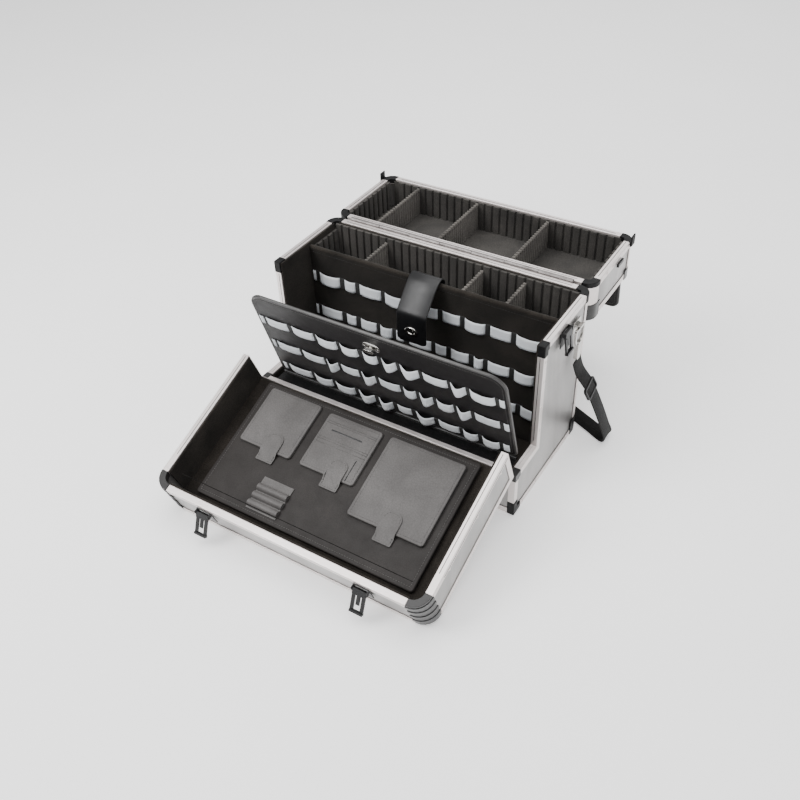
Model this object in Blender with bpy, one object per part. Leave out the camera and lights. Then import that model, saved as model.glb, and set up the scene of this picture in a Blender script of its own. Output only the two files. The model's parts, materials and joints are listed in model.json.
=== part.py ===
"""Aluminium-framed tool and beauty case, standing open.

The drop front door rests with its far edge on the ground, the lid is swung right over behind the
body, and the tilting tool board leans forward. Metres, +Z up, the front door towards -Y.
The origin is the centre of the footprint, on the ground.
The door, lid, tool board, latches, handle and lid flap are drawn closed and carried by empties on
their joint axes, which turn them to the open positions.
"""

import math

import bmesh
import bpy
from mathutils import Matrix, Vector

# ---------------------------------------------------------------- driving dimensions
WIDTH = 0.460
DEPTH = 0.234
BODY_HEIGHT = 0.264         # ground to the body's rim
BASE_HEIGHT = 0.082         # ground to the top of the low front, where the door is hinged
LID_HEIGHT = 0.066
DOOR_DEPTH = 0.070          # depth of the door tray, which the body's side walls are set back by
RAIL = 0.0105               # square aluminium edge profile
GAP = 0.0003                # between pieces that touch
SHEET = 0.0012              # wall of the thin angle profiles
SKIN = 0.0075               # laminated wall panel
INSET = SHEET + GAP         # panel face behind the profile's outer face
LINING = 0.0025
SEAM = 0.0012               # between the lid, the door and the body when shut
POST_RADIUS = 0.018         # rounded upright corners of the lid and of the body's back
DOOR_RADIUS = 0.026         # rounded far corners of the door
RIB_PITCH = 0.0145
RIB_HEIGHT = 0.003
RIB_BASE = 0.0015
ARC_STEPS = 6

HALF = WIDTH / 2
FRONT = -DEPTH / 2
BACK = DEPTH / 2
STEP = FRONT + DOOR_DEPTH   # front edge of the body's side walls
TOP = BODY_HEIGHT + LID_HEIGHT
RIM = BODY_HEIGHT
LID_RIM = BODY_HEIGHT + SEAM
DOOR_FOOT = BASE_HEIGHT + SEAM
DOOR_RIM = STEP - SEAM
INNER_HALF = HALF - RAIL - GAP - LINING

# ---------------------------------------------------------------- inside the body
PARTITION_Y = 0.030
PARTITION_THICK = 0.006
PARTITION_TOP = RIM - 0.010
FLOOR_TOP = INSET + SKIN
LOOP_DEPTH = 0.009
BOARD_LOOP_DEPTH = 0.0075
LOOP_TALL = 0.019
LOOP_BACKING = 0.0006
PAD_THICK = 0.0075
BRACKET_LOW = 0.0730
PARTITION_ROWS = (0.072, 0.138, 0.204)
BOARD_HALF = 0.213
BOARD_TALL = 0.188
BOARD_THICK = 0.004
BOARD_AXIS = Vector((0, -0.077, 0.0805))
BOARD_TILT = math.radians(17)
BOARD_ROWS = (0.018, 0.076, 0.134)
KNOB_HEIGHT = 0.160

# ---------------------------------------------------------------- joints
BARREL = 0.0036
PIN = 0.0013
BARREL_HOLE = 0.0018
DOOR_AXIS = Vector((0, FRONT - BARREL - GAP, BASE_HEIGHT + SEAM / 2))
LID_AXIS = Vector((0, BACK + BARREL + GAP, BODY_HEIGHT + SEAM / 2))
FLAP_AXIS = Vector((0, STEP - 0.004, LID_RIM + 0.006))
FLAP_LEAN = math.radians(7)   # off the vertical when it hangs from the open lid
FLAP_LENGTH = 0.150
FLAP_HALF = 0.212
HANDLE_AXIS = Vector((0, (STEP + BACK) / 2, TOP + 0.010))
SIDE_LATCH_Y = 0.018
DOOR_LATCH_X = 0.135
CLASP_LENGTH = 0.031
CLASP_HALF = 0.0105
CLASP_LIFT = 0.0055         # clasp's pivot above the face that it is mounted on
SIDE_CLASP_REST = math.radians(172)
DOOR_CLASP_REST = math.radians(138)
RING_Y = 0.062
RING_Z = RIM - 0.036

# ---------------------------------------------------------------- shoulder strap
STRAP_WIDE = 0.028
STRAP_THICK = 0.0022
STRAP_END = Vector((0.2370, RING_Y, 0.1740))


def bearing_angle():
    """Turn that brings the door's far outer edge down to the ground."""
    reach_y = FRONT - DOOR_AXIS.y
    reach_z = TOP - DOOR_AXIS.z
    reach = math.hypot(reach_y, reach_z)
    return math.atan2(reach_y, reach_z) + math.acos(-DOOR_AXIS.z / reach)


DOOR_OPEN = bearing_angle()


# ---------------------------------------------------------------- tools
def clear_scene():
    for item in list(bpy.data.objects):
        bpy.data.objects.remove(item, do_unlink=True)


def finish_of(name, colour, roughness, metallic=0.0):
    made = bpy.data.materials.new(name)
    made.use_nodes = True
    shader = made.node_tree.nodes["Principled BSDF"]
    shader.inputs["Base Color"].default_value = (*colour, 1)
    shader.inputs["Roughness"].default_value = roughness
    shader.inputs["Metallic"].default_value = metallic
    made.diffuse_color = (*colour, 1)
    return made


def pivot(name, place, parent=None, turn=(0, 0, 0)):
    """Empty on a joint's axis. The place is where that axis is with everything shut."""
    empty = bpy.data.objects.new(name, None)
    bpy.context.scene.collection.objects.link(empty)
    base = Vector((0, 0, 0))
    if parent is not None:
        empty.parent = parent
        base = Vector(parent["shut_place"])
    empty["shut_place"] = tuple(place)
    empty.location = place - base
    empty.rotation_euler = turn
    return empty


class Shape:
    """Closed solids that make one node, drawn where they are with everything shut."""

    def __init__(self):
        self.solids = []
        self.cuts = []

    def prism(self, outline, along, low, high, cut=False):
        """Extrude an outline. The outline is (y, z) along X, (x, z) along Y and (x, y) along Z."""
        points = []
        for level in (low, high):
            for a, b in outline:
                points.append({"x": (level, a, b), "y": (a, level, b), "z": (a, b, level)}[along])
        count = len(outline)
        faces = [list(range(count))[::-1], list(range(count, 2 * count))]
        for i in range(count):
            j = (i + 1) % count
            faces.append([i, j, count + j, count + i])
        (self.cuts if cut else self.solids).append((points, faces))
        return self

    def box(self, x, y, z, cut=False):
        outline = [(x[0], y[0]), (x[1], y[0]), (x[1], y[1]), (x[0], y[1])]
        return self.prism(outline, "z", z[0], z[1], cut)

    def rod(self, centre, along, low, high, radius, sides=12):
        turns = (math.tau * i / sides for i in range(sides))
        outline = [(centre[0] + radius * math.cos(t), centre[1] + radius * math.sin(t)) for t in turns]
        return self.prism(outline, along, low, high)

    def node(self, name, finish, carrier=None, smooth=None):
        made = solid_object(name, self.solids[:1])
        if len(self.solids) > 1:
            combine(made, self.solids[1:], "UNION")
        if self.cuts:
            combine(made, self.cuts, "DIFFERENCE")
        base = Vector(carrier["shut_place"]) if carrier is not None else Vector((0, 0, 0))
        made.data.transform(Matrix.Translation(-base))
        if smooth is not None:
            made.data.shade_smooth()
            made.data.set_sharp_from_angle(angle=math.radians(smooth))
        made.data.materials.clear()
        made.data.materials.append(finish)
        made.parent = carrier
        return made


def solid_object(name, solids):
    mesh = bmesh.new()
    for points, faces in solids:
        verts = [mesh.verts.new(point) for point in points]
        for face in faces:
            mesh.faces.new([verts[i] for i in face])
    bmesh.ops.recalc_face_normals(mesh, faces=mesh.faces)
    data = bpy.data.meshes.new(name)
    mesh.to_mesh(data)
    mesh.free()
    made = bpy.data.objects.new(name, data)
    bpy.context.scene.collection.objects.link(made)
    return made


def combine(made, solids, operation):
    """Boolean of an object with overlapping solids, applied to its mesh."""
    tool = solid_object("boolean_tool", solids)
    step = made.modifiers.new("combine", "BOOLEAN")
    step.operation = operation
    step.object = tool
    step.use_self = True
    graph = bpy.context.evaluated_depsgraph_get()
    result = bpy.data.meshes.new_from_object(made.evaluated_get(graph))
    made.modifiers.remove(step)
    result.name = made.data.name
    made.data = result
    bpy.data.objects.remove(tool, do_unlink=True)


def arc(centre, radius, start, end, steps=ARC_STEPS):
    """Points of an arc, angles in degrees."""
    turns = [math.radians(start + (end - start) * i / steps) for i in range(steps + 1)]
    return [(centre[0] + radius * math.cos(t), centre[1] + radius * math.sin(t)) for t in turns]


def rounded(left, right, bottom, top, radii):
    """Rectangle with its four corners rounded: bottom left, bottom right, top right, top left."""
    places = ((left, bottom, 1, 1, 180), (right, bottom, -1, 1, 270),
              (right, top, -1, -1, 0), (left, top, 1, -1, 90))
    points = []
    for (a, b, toward_a, toward_b, start), radius in zip(places, radii):
        if radius == 0:
            points.append((a, b))
        else:
            centre = (a + toward_a * radius, b + toward_b * radius)
            points += arc(centre, radius, start, start + 90)
    return points


def quarter(centre, outer, inner, start, leg=0.0):
    """Ring quarter that rounds a corner, with straight legs of the given length at both ends."""
    points = arc(centre, outer, start, start + 90)
    back = arc(centre, inner, start + 90, start)
    if leg:
        first = (math.cos(math.radians(start - 90)), math.sin(math.radians(start - 90)))
        last = (math.cos(math.radians(start + 180)), math.sin(math.radians(start + 180)))
        points.insert(0, (points[0][0] + leg * first[0], points[0][1] + leg * first[1]))
        points.append((points[-1][0] + leg * last[0], points[-1][1] + leg * last[1]))
        back.insert(0, (back[0][0] + leg * last[0], back[0][1] + leg * last[1]))
        back.append((back[-1][0] + leg * first[0], back[-1][1] + leg * first[1]))
    return points + back


def ribbed(low, high, base, toward, flip=False):
    """Corrugated strip between two ends. Base is the flat back, and the ribs stand toward +1 or -1.

    A groove is centred on 0, so that dividers sit in grooves at whole pitches.
    """
    crest = base + toward * (RIB_BASE + RIB_HEIGHT)
    valley = base + toward * RIB_BASE
    half_rib = RIB_PITCH * 0.30
    line = [(low, base), (low, valley)]
    index = math.ceil((low + half_rib * 1.6) / RIB_PITCH - 0.5)
    while (index + 0.5) * RIB_PITCH + half_rib * 1.4 < high:
        middle = (index + 0.5) * RIB_PITCH
        if middle - half_rib * 1.4 > low:
            line += [(middle - half_rib * 1.25, valley), (middle - half_rib * 0.75, crest),
                     (middle + half_rib * 0.75, crest), (middle + half_rib * 1.25, valley)]
        index += 1
    line += [(high, valley), (high, base)]
    return [(b, a) for a, b in line] if flip else line


def wavy_divider(place, low, high):
    """Plan outline of a thin corrugated divider across the case, from low to high in y."""
    waves = max(2, round((high - low) / RIB_PITCH)) * 2
    pitch = (high - low) / waves
    core, wave = 0.0009, 0.0011
    left, right = [], []
    for i in range(waves):
        shift = wave if i % 2 else -wave
        start, end = low + i * pitch, low + (i + 1) * pitch
        for y in (start + pitch * 0.18, end - pitch * 0.18):
            left.append((place + shift - core, y))
            right.append((place + shift + core, y))
    left[0], right[0] = (left[0][0], low), (right[0][0], low)
    left[-1], right[-1] = (left[-1][0], high), (right[-1][0], high)
    return right + left[::-1]


def knuckle(axis, face_side, leaf_side, leaf):
    """Profile in (y, z) of a leaf with its end rolled round the pin.

    The face that it is screwed to is on face_side (+1 or -1 in y) and the leaf runs to leaf_side in z.
    """
    steps = 9
    turns = [math.radians(285 * i / steps) for i in range(steps + 1)]
    outer = [(BARREL * math.cos(t), BARREL * math.sin(t)) for t in turns]
    inner = [(BARREL_HOLE * math.cos(t), BARREL_HOLE * math.sin(t)) for t in reversed(turns)]
    line = [(BARREL, -leaf)] + outer + inner + [(BARREL - 0.0016, -0.001), (BARREL - 0.0016, -leaf)]
    return [(axis.y + face_side * a, axis.z - leaf_side * b) for a, b in line]


# ---------------------------------------------------------------- finishes
def finishes():
    return {
        "aluminium": finish_of("aluminium_profile", (0.80, 0.77, 0.76), 0.30, 0.9),
        "panel": finish_of("silver_laminate", (0.45, 0.44, 0.43), 0.45, 0.3),
        "guard": finish_of("dark_grey_plastic", (0.07, 0.07, 0.072), 0.40),
        "lining": finish_of("dark_brown_lining", (0.030, 0.026, 0.023), 0.90),
        "ribbed": finish_of("ribbed_grey_plastic", (0.055, 0.052, 0.048), 0.60),
        "board": finish_of("black_vinyl_board", (0.022, 0.020, 0.020), 0.45),
        "organizer": finish_of("grey_brown_pad", (0.070, 0.062, 0.060), 0.60),
        "pocket": finish_of("grey_leatherette", (0.13, 0.125, 0.12), 0.50),
        "elastic": finish_of("white_elastic", (0.72, 0.75, 0.79), 0.60),
        "leather": finish_of("black_leather", (0.012, 0.012, 0.013), 0.30),
        "webbing": finish_of("black_webbing", (0.022, 0.022, 0.024), 0.80),
        "black": finish_of("black_metal", (0.015, 0.015, 0.016), 0.35, 0.6),
        "chrome": finish_of("bright_metal", (0.75, 0.74, 0.72), 0.18, 1.0),
    }


# ---------------------------------------------------------------- body
def mirrored(near, far, side):
    """Span between two distances from the middle plane, on the left (-1) or right (+1)."""
    return sorted((side * near, side * far))


def body_panels(look):
    low, high = SHEET + GAP, BODY_HEIGHT - RAIL - GAP
    shelf = BASE_HEIGHT - RAIL - GAP
    front, back = FRONT + INSET + SKIN + GAP, BACK - POST_RADIUS - GAP
    wall = STEP + RAIL + GAP
    on_base = low + SKIN + GAP
    outline = [(front, on_base), (back, on_base), (back, high), (wall, high), (wall, shelf),
               (front, shelf)]
    for name, side in (("left_panel", -1), ("right_panel", 1)):
        face = mirrored(HALF - INSET - SKIN, HALF - INSET, side)
        Shape().prism(outline, "x", *face).node(name, look["panel"])
    across = (-HALF + INSET, HALF - INSET)
    round_back = (-HALF + POST_RADIUS + GAP, HALF - POST_RADIUS - GAP)
    Shape().box(across, (FRONT + INSET, FRONT + INSET + SKIN), (on_base, shelf)).node(
        "front_panel", look["panel"])
    Shape().box(round_back, (BACK - INSET - SKIN, BACK - INSET), (on_base, high)).node(
        "rear_panel", look["panel"])
    radius = POST_RADIUS - INSET
    plan = rounded(*across, FRONT + INSET, BACK - INSET, (0, 0, radius, radius))
    base = Shape().prism(plan, "z", low, low + SKIN)
    # Rebated all round, so that its underside lies level with the profile's.
    inner = POST_RADIUS - RAIL - GAP
    plan = rounded(-HALF + RAIL + GAP, HALF - RAIL - GAP, FRONT + RAIL + GAP, BACK - RAIL - GAP,
                   (0, 0, inner, inner))
    base.prism(plan, "z", 0, low + SKIN / 2)
    base.node("base_panel", look["panel"])


def body_frame(look):
    """Edge profiles of the body: capping rails on open edges and thin angles on closed ones."""
    shape = Shape()
    shelf = (BASE_HEIGHT - RAIL, BASE_HEIGHT)
    rim = (RIM - RAIL, RIM)
    straight = BACK - POST_RADIUS
    for side in (-1, 1):
        rail = mirrored(HALF - RAIL, HALF, side)
        skin = mirrored(HALF - SHEET, HALF, side)
        shape.box(rail, (STEP, straight), rim)
        shape.box(rail, (STEP, STEP + RAIL), (BASE_HEIGHT - RAIL, RIM))
        shape.box(rail, (FRONT, STEP + RAIL), shelf)
        shape.box(skin, (FRONT, FRONT + RAIL), (0, BASE_HEIGHT))
        shape.box(rail, (FRONT, FRONT + SHEET), (0, BASE_HEIGHT))
        shape.box(skin, (FRONT, straight), (0, RAIL))
        shape.box(rail, (FRONT, straight), (0, SHEET))
        centre = (side * (HALF - POST_RADIUS), straight)
        start = 0 if side > 0 else 90
        shape.prism(quarter(centre, POST_RADIUS, POST_RADIUS - RAIL, start, 0.004), "z", *rim)
        shape.prism(quarter(centre, POST_RADIUS, POST_RADIUS - SHEET, start, 0.004), "z", 0, RIM)
        shape.prism(quarter(centre, POST_RADIUS, POST_RADIUS - RAIL, start, 0.004), "z", 0, SHEET)
    between = (-HALF, HALF)
    round_back = (-HALF + POST_RADIUS, HALF - POST_RADIUS)
    shape.box(between, (FRONT, FRONT + RAIL), shelf)
    shape.box(between, (FRONT, FRONT + SHEET), (0, RAIL))
    shape.box(between, (FRONT, FRONT + RAIL), (0, SHEET))
    shape.box(round_back, (BACK - RAIL, BACK), rim)
    shape.box(round_back, (BACK - SHEET, BACK), (0, RAIL))
    shape.box(round_back, (BACK - RAIL, BACK), (0, SHEET))
    shape.node("body_frame", look["aluminium"], smooth=30)


def body_lining(look):
    """Thin foam-backed fabric over the floor and walls, in one piece."""
    shape = Shape()
    high = RIM - 0.0015
    inside_front = FRONT + RAIL + GAP
    inside_back = BACK - RAIL - GAP
    top = BASE_HEIGHT - 0.0015
    outline = [(inside_front, FLOOR_TOP + GAP), (inside_back, FLOOR_TOP + GAP), (inside_back, high),
               (STEP + 0.0015, high), (STEP + 0.0015, top), (inside_front, top)]
    for side in (-1, 1):
        shape.prism(outline, "x", *mirrored(INNER_HALF, INNER_HALF + LINING, side))
    across = (-INNER_HALF - LINING / 2, INNER_HALF + LINING / 2)
    floor = (FLOOR_TOP + GAP, FLOOR_TOP + GAP + LINING)
    shape.box(across, (inside_front, inside_front + LINING), (floor[0], BRACKET_LOW - 0.001))
    shape.box(across, (inside_back - LINING, inside_back), (floor[0], high))
    shape.box(across, (inside_front, inside_back), floor)
    for side in (-1, 1):
        # The rim rail is rounded in the rear corners, so the lining stops below it there.
        shape.box(mirrored(HALF - POST_RADIUS - GAP, HALF, side), (BACK - POST_RADIUS - GAP, BACK),
                  (RIM - RAIL - GAP, RIM), cut=True)
    shape.node("body_lining", look["lining"])


def compartment(look):
    """Rear compartment: partition board, corrugated slot walls and three lift-out dividers."""
    inner = INNER_HALF - GAP
    low = FLOOR_TOP + LINING + 2 * GAP
    front_face = PARTITION_Y - PARTITION_THICK / 2
    back_face = PARTITION_Y + PARTITION_THICK / 2
    edge = arc((PARTITION_Y, PARTITION_TOP), 0.0042, 0, 180)
    outline = [(front_face, low), (back_face, low), (back_face, PARTITION_TOP - 0.003)]
    outline += edge + [(front_face, PARTITION_TOP - 0.003)]
    Shape().prism(outline, "x", -inner, inner).node("partition_board", look["lining"], smooth=40)

    back = BACK - RAIL - 2 * GAP - LINING
    start = back_face + GAP
    tall = (low, RIM - 0.003)
    shape = Shape()
    shape.prism(ribbed(-inner, inner, back, -1), "z", *tall)
    shape.prism(ribbed(-inner, inner, start, 1), "z", low, PARTITION_TOP - 0.006)
    for side in (-1, 1):
        shape.prism(ribbed(start, back, side * inner, -side, flip=True), "z", low, PARTITION_TOP - 0.006)
    shape.node("rear_slot_liner", look["ribbed"])

    reach = (start + RIB_BASE + 0.0006, back - RIB_BASE - 0.0006)
    for number, pitches in enumerate((-8, 4, 9), 1):
        outline = wavy_divider(pitches * RIB_PITCH, *reach)
        Shape().prism(outline, "z", low, PARTITION_TOP).node(
            f"rear_divider_{number}", look["ribbed"])


def loop_rows(half, face, depth, rows, backing_low, backing_high):
    """Rows of elastic loops in front of a face, on one thin backing sheet."""
    shape = Shape()
    shape.box((-half, half), (face - LOOP_BACKING, face), (backing_low, backing_high))
    for z in rows:
        shape.box((-half, half), (face - depth, face), (z - LOOP_TALL / 2, z + LOOP_TALL / 2))
    return shape


def closing_strap(look):
    """Stiff leather strap sewn behind the partition, arching over it and hanging clear in front."""
    thick = 0.0026
    line = [(0.0400, 0.2485), (0.0400, 0.2570), (0.0370, 0.2630), (0.0300, 0.2662), (0.0220, 0.2650),
            (0.0120, 0.2580), (0.0000, 0.2440), (-0.0110, 0.2290), (-0.0155, 0.2200),
            (-0.0165, 0.2080), (-0.0165, 0.1780)]
    outer, inner = [], []
    for i, point in enumerate(line):
        before = Vector(line[max(i - 1, 0)])
        after = Vector(line[min(i + 1, len(line) - 1)])
        along = (after - before).normalized()
        side = Vector((along.y, -along.x)) * thick / 2
        outer.append(tuple(Vector(point) - side))
        inner.append(tuple(Vector(point) + side))
    half = 0.026
    Shape().prism(outer + inner[::-1], "x", -half, half).node(
        "closing_strap", look["leather"], smooth=50)


def rings_and_hooks(look):
    """Plates on the side walls and the swivel hooks of the shoulder strap that hang in their rings."""
    for name, side in (("left", -1), ("right", 1)):
        face = side * (HALF + GAP)
        plate = Shape()
        outline = rounded(RING_Y - 0.013, RING_Y + 0.013, RING_Z - 0.004, RING_Z + 0.016,
                          (0.004,) * 4)
        plate.prism(outline, "x", *sorted((face, face + side * 0.002)))
        plate.box(sorted((face + side * 0.001, face + side * 0.0095)),
                  (RING_Y - 0.006, RING_Y + 0.006), (RING_Z + 0.0058, RING_Z + 0.009))
        plate.node(f"ring_plate_{name}", look["chrome"])
        centre = face + side * 0.0062
        thin = sorted((centre - side * 0.0017, centre + side * 0.0017))
        through = (thin[0] - 0.002, thin[1] + 0.002)
        hook = Shape()
        hook.prism(rounded(RING_Y - 0.015, RING_Y + 0.015, RING_Z - 0.024, RING_Z + 0.0050,
                           (0.012, 0.012, 0.003, 0.003)), "x", *thin)
        hook.prism(rounded(RING_Y - 0.006, RING_Y + 0.006, RING_Z - 0.052, RING_Z - 0.0205,
                           (0.004,) * 4), "x", centre - 0.003, centre + 0.003)
        hook.prism(rounded(RING_Y - 0.0115, RING_Y + 0.0115, RING_Z - 0.0200, RING_Z + 0.0015,
                           (0.009, 0.009, 0.001, 0.001)), "x", *through, cut=True)
        hook.node(f"strap_hook_{name}", look["chrome"], smooth=40)


def block(shape, place, side, along, out, a, b, c):
    """Box given by its reach along three directions from a place."""
    corners = [place + side * a[i] + along * b[i] + out * c[i] for i in (0, 1)]
    shape.box(*[sorted((corners[0][k], corners[1][k])) for k in range(3)])


def clasp_base(place, side, along, out):
    """Base plate of a hook clasp, with the two lugs that hold its pivot."""
    shape = Shape()
    block(shape, place, side, along, out, (-0.0130, 0.0130), (-0.024, 0.0035), (GAP, 0.0016))
    for way in (-1, 1):
        block(shape, place, side, along, out, (way * 0.0111, way * 0.0126), (-0.0035, 0.0035),
              (0.0010, 0.0085))
    return shape


def clasp(place, side, along, out):
    """Hook clasp in its latched position, reaching along across the seam: barrel, two arms, hook."""
    base = place + out * CLASP_LIFT
    shape = Shape()
    wide = (-CLASP_HALF, CLASP_HALF)
    block(shape, base, side, along, out, wide, (-0.0028, 0.0070), (-0.0022, 0.0022))
    for way in (-1, 1):
        block(shape, base, side, along, out, (way * 0.0052, way * CLASP_HALF),
              (0.0060, CLASP_LENGTH + 0.001), (-0.0012, 0.0014))
    block(shape, base, side, along, out, (-0.0030, 0.0030), (0.0060, CLASP_LENGTH - 0.009),
          (-0.0008, 0.0008))
    block(shape, base, side, along, out, wide, (CLASP_LENGTH, CLASP_LENGTH + 0.0035),
          (-0.0030, 0.0022))
    return shape


def side_latches(look):
    sideways, up = Vector((0, 1, 0)), Vector((0, 0, 1))
    for name, side in (("left", -1), ("right", 1)):
        out = Vector((side, 0, 0))
        place = Vector((side * HALF, SIDE_LATCH_Y, RIM - 0.0125))
        clasp_base(place, sideways, up, out).node(f"side_clasp_base_{name}", look["black"])
        # Latched the clasp points up. It hangs down, a little off the wall.
        carrier = pivot(f"side_clasp_axis_{name}", place + out * CLASP_LIFT,
                        turn=(0, side * SIDE_CLASP_REST, 0))
        clasp(place, sideways, up, out).node(f"side_clasp_{name}", look["black"], carrier)


def hinge(name, axis, face_side, fixed_leaf, moving_leaf, look, carrier):
    """Continuous hinge along X: two rolled leaves with knuckles in turn, and the pin through them."""
    count = 7
    half = HALF - DOOR_RADIUS - 0.006
    width = 2 * half / count
    fixed, moving = Shape(), Shape()
    rows = ((fixed, -1, fixed_leaf, range(1, count, 2)), (moving, 1, moving_leaf, range(0, count, 2)))
    for shape, leaf_side, leaf, places in rows:
        strip_y = sorted((axis.y + face_side * (BARREL - 0.0016), axis.y + face_side * BARREL))
        strip_z = sorted((axis.z + leaf_side * (BARREL + 0.001), axis.z + leaf_side * leaf))
        shape.box((-half, half), strip_y, strip_z)
        for i in places:
            start = -half + width * i
            shape.prism(knuckle(axis, face_side, leaf_side, leaf), "x",
                        start + GAP, start + width - GAP)
    fixed.node(f"{name}_hinge_fixed_leaf", look["aluminium"], smooth=40)
    moving.node(f"{name}_hinge_moving_leaf", look["aluminium"], carrier, smooth=40)
    Shape().rod((axis.y, axis.z), "x", -half, half, PIN, sides=8).node(
        f"{name}_hinge_pin", look["chrome"], smooth=40)


def board_bracket(look):
    """Angle behind the low front whose rolled edge carries the tool board."""
    inner = INNER_HALF - 0.004
    shape = Shape()
    bead = (BOARD_AXIS.y, BRACKET_LOW + 0.0026)
    shape.box((-inner, inner), (FRONT + RAIL + GAP, BOARD_AXIS.y), (BRACKET_LOW, BRACKET_LOW + 0.0015))
    shape.rod(bead, "x", -inner, inner, 0.0026)
    shape.node("board_hinge_bracket", look["black"], smooth=40)


# ---------------------------------------------------------------- shoulder strap
def strap_route():
    """Centre line of the shoulder strap, from the right hook round the back to the left hook."""
    ground = STRAP_THICK / 2 + GAP
    half = [
        (STRAP_END.x, STRAP_END.y, STRAP_END.z), (0.2430, 0.064, 0.1540),
        (0.2570, 0.071, 0.1280), (0.2690, 0.078, 0.0960), (0.2785, 0.086, 0.0640),
        (0.2850, 0.094, 0.0360), (0.2880, 0.101, 0.0170), (0.2840, 0.107, 0.0060),
        (0.2720, 0.114, ground), (0.2500, 0.124, ground), (0.2150, 0.140, ground),
        (0.1700, 0.160, ground), (0.1150, 0.180, ground), (0.0570, 0.194, ground),
    ]
    middle = [(0.0, 0.199, ground)]
    other = [(-x, y, z) for x, y, z in reversed(half)]
    return [Vector(point) for point in half + middle + other]


def smooth_line(points, spacing):
    """Evenly spaced points of a centripetal curve through the given points."""
    fine = []
    ends = [points[0] * 2 - points[1]] + points + [points[-1] * 2 - points[-2]]
    for a, b, c, d in zip(ends, ends[1:], ends[2:], ends[3:]):
        times = [0.0]
        for start, end in ((a, b), (b, c), (c, d)):
            times.append(times[-1] + math.sqrt((end - start).length))
        for i in range(24):
            t = times[1] + (times[2] - times[1]) * i / 24
            first = a.lerp(b, (t - times[0]) / (times[1] - times[0]))
            second = b.lerp(c, (t - times[1]) / (times[2] - times[1]))
            third = c.lerp(d, (t - times[2]) / (times[3] - times[2]))
            left = first.lerp(second, (t - times[0]) / (times[2] - times[0]))
            right = second.lerp(third, (t - times[1]) / (times[3] - times[1]))
            fine.append(left.lerp(right, (t - times[1]) / (times[2] - times[1])))
    fine.append(points[-1].copy())
    length = sum((b - a).length for a, b in zip(fine, fine[1:]))
    count = round(length / spacing)
    even, walked, index = [fine[0]], 0.0, 0
    for i in range(1, count):
        target = length * i / count
        while walked + (fine[index + 1] - fine[index]).length < target:
            walked += (fine[index + 1] - fine[index]).length
            index += 1
        piece = fine[index + 1] - fine[index]
        even.append(fine[index] + piece * ((target - walked) / piece.length))
    return even + [fine[-1]]


def shoulder_strap(look):
    """Flat webbing swept along its route with its width across the case's depth."""
    line = smooth_line(strap_route(), 0.016)
    points, faces = [], []
    for i, place in enumerate(line):
        along = (line[min(i + 1, len(line) - 1)] - line[max(i - 1, 0)]).normalized()
        wide = Vector((0, 1, 0))
        wide = (wide - along * wide.dot(along)).normalized()
        out = along.cross(wide).normalized()
        for a, b in ((-1, -1), (1, -1), (1, 1), (-1, 1)):
            points.append(tuple(place + wide * a * STRAP_WIDE / 2 + out * b * STRAP_THICK / 2))
        if i:
            base = 4 * i
            for k in range(4):
                n = (k + 1) % 4
                faces.append([base - 4 + k, base - 4 + n, base + n, base + k])
    last = len(points) - 4
    faces += [[3, 2, 1, 0], [last, last + 1, last + 2, last + 3]]
    shape = Shape()
    shape.solids.append((points, faces))
    shape.node("shoulder_strap", look["webbing"])


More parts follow.
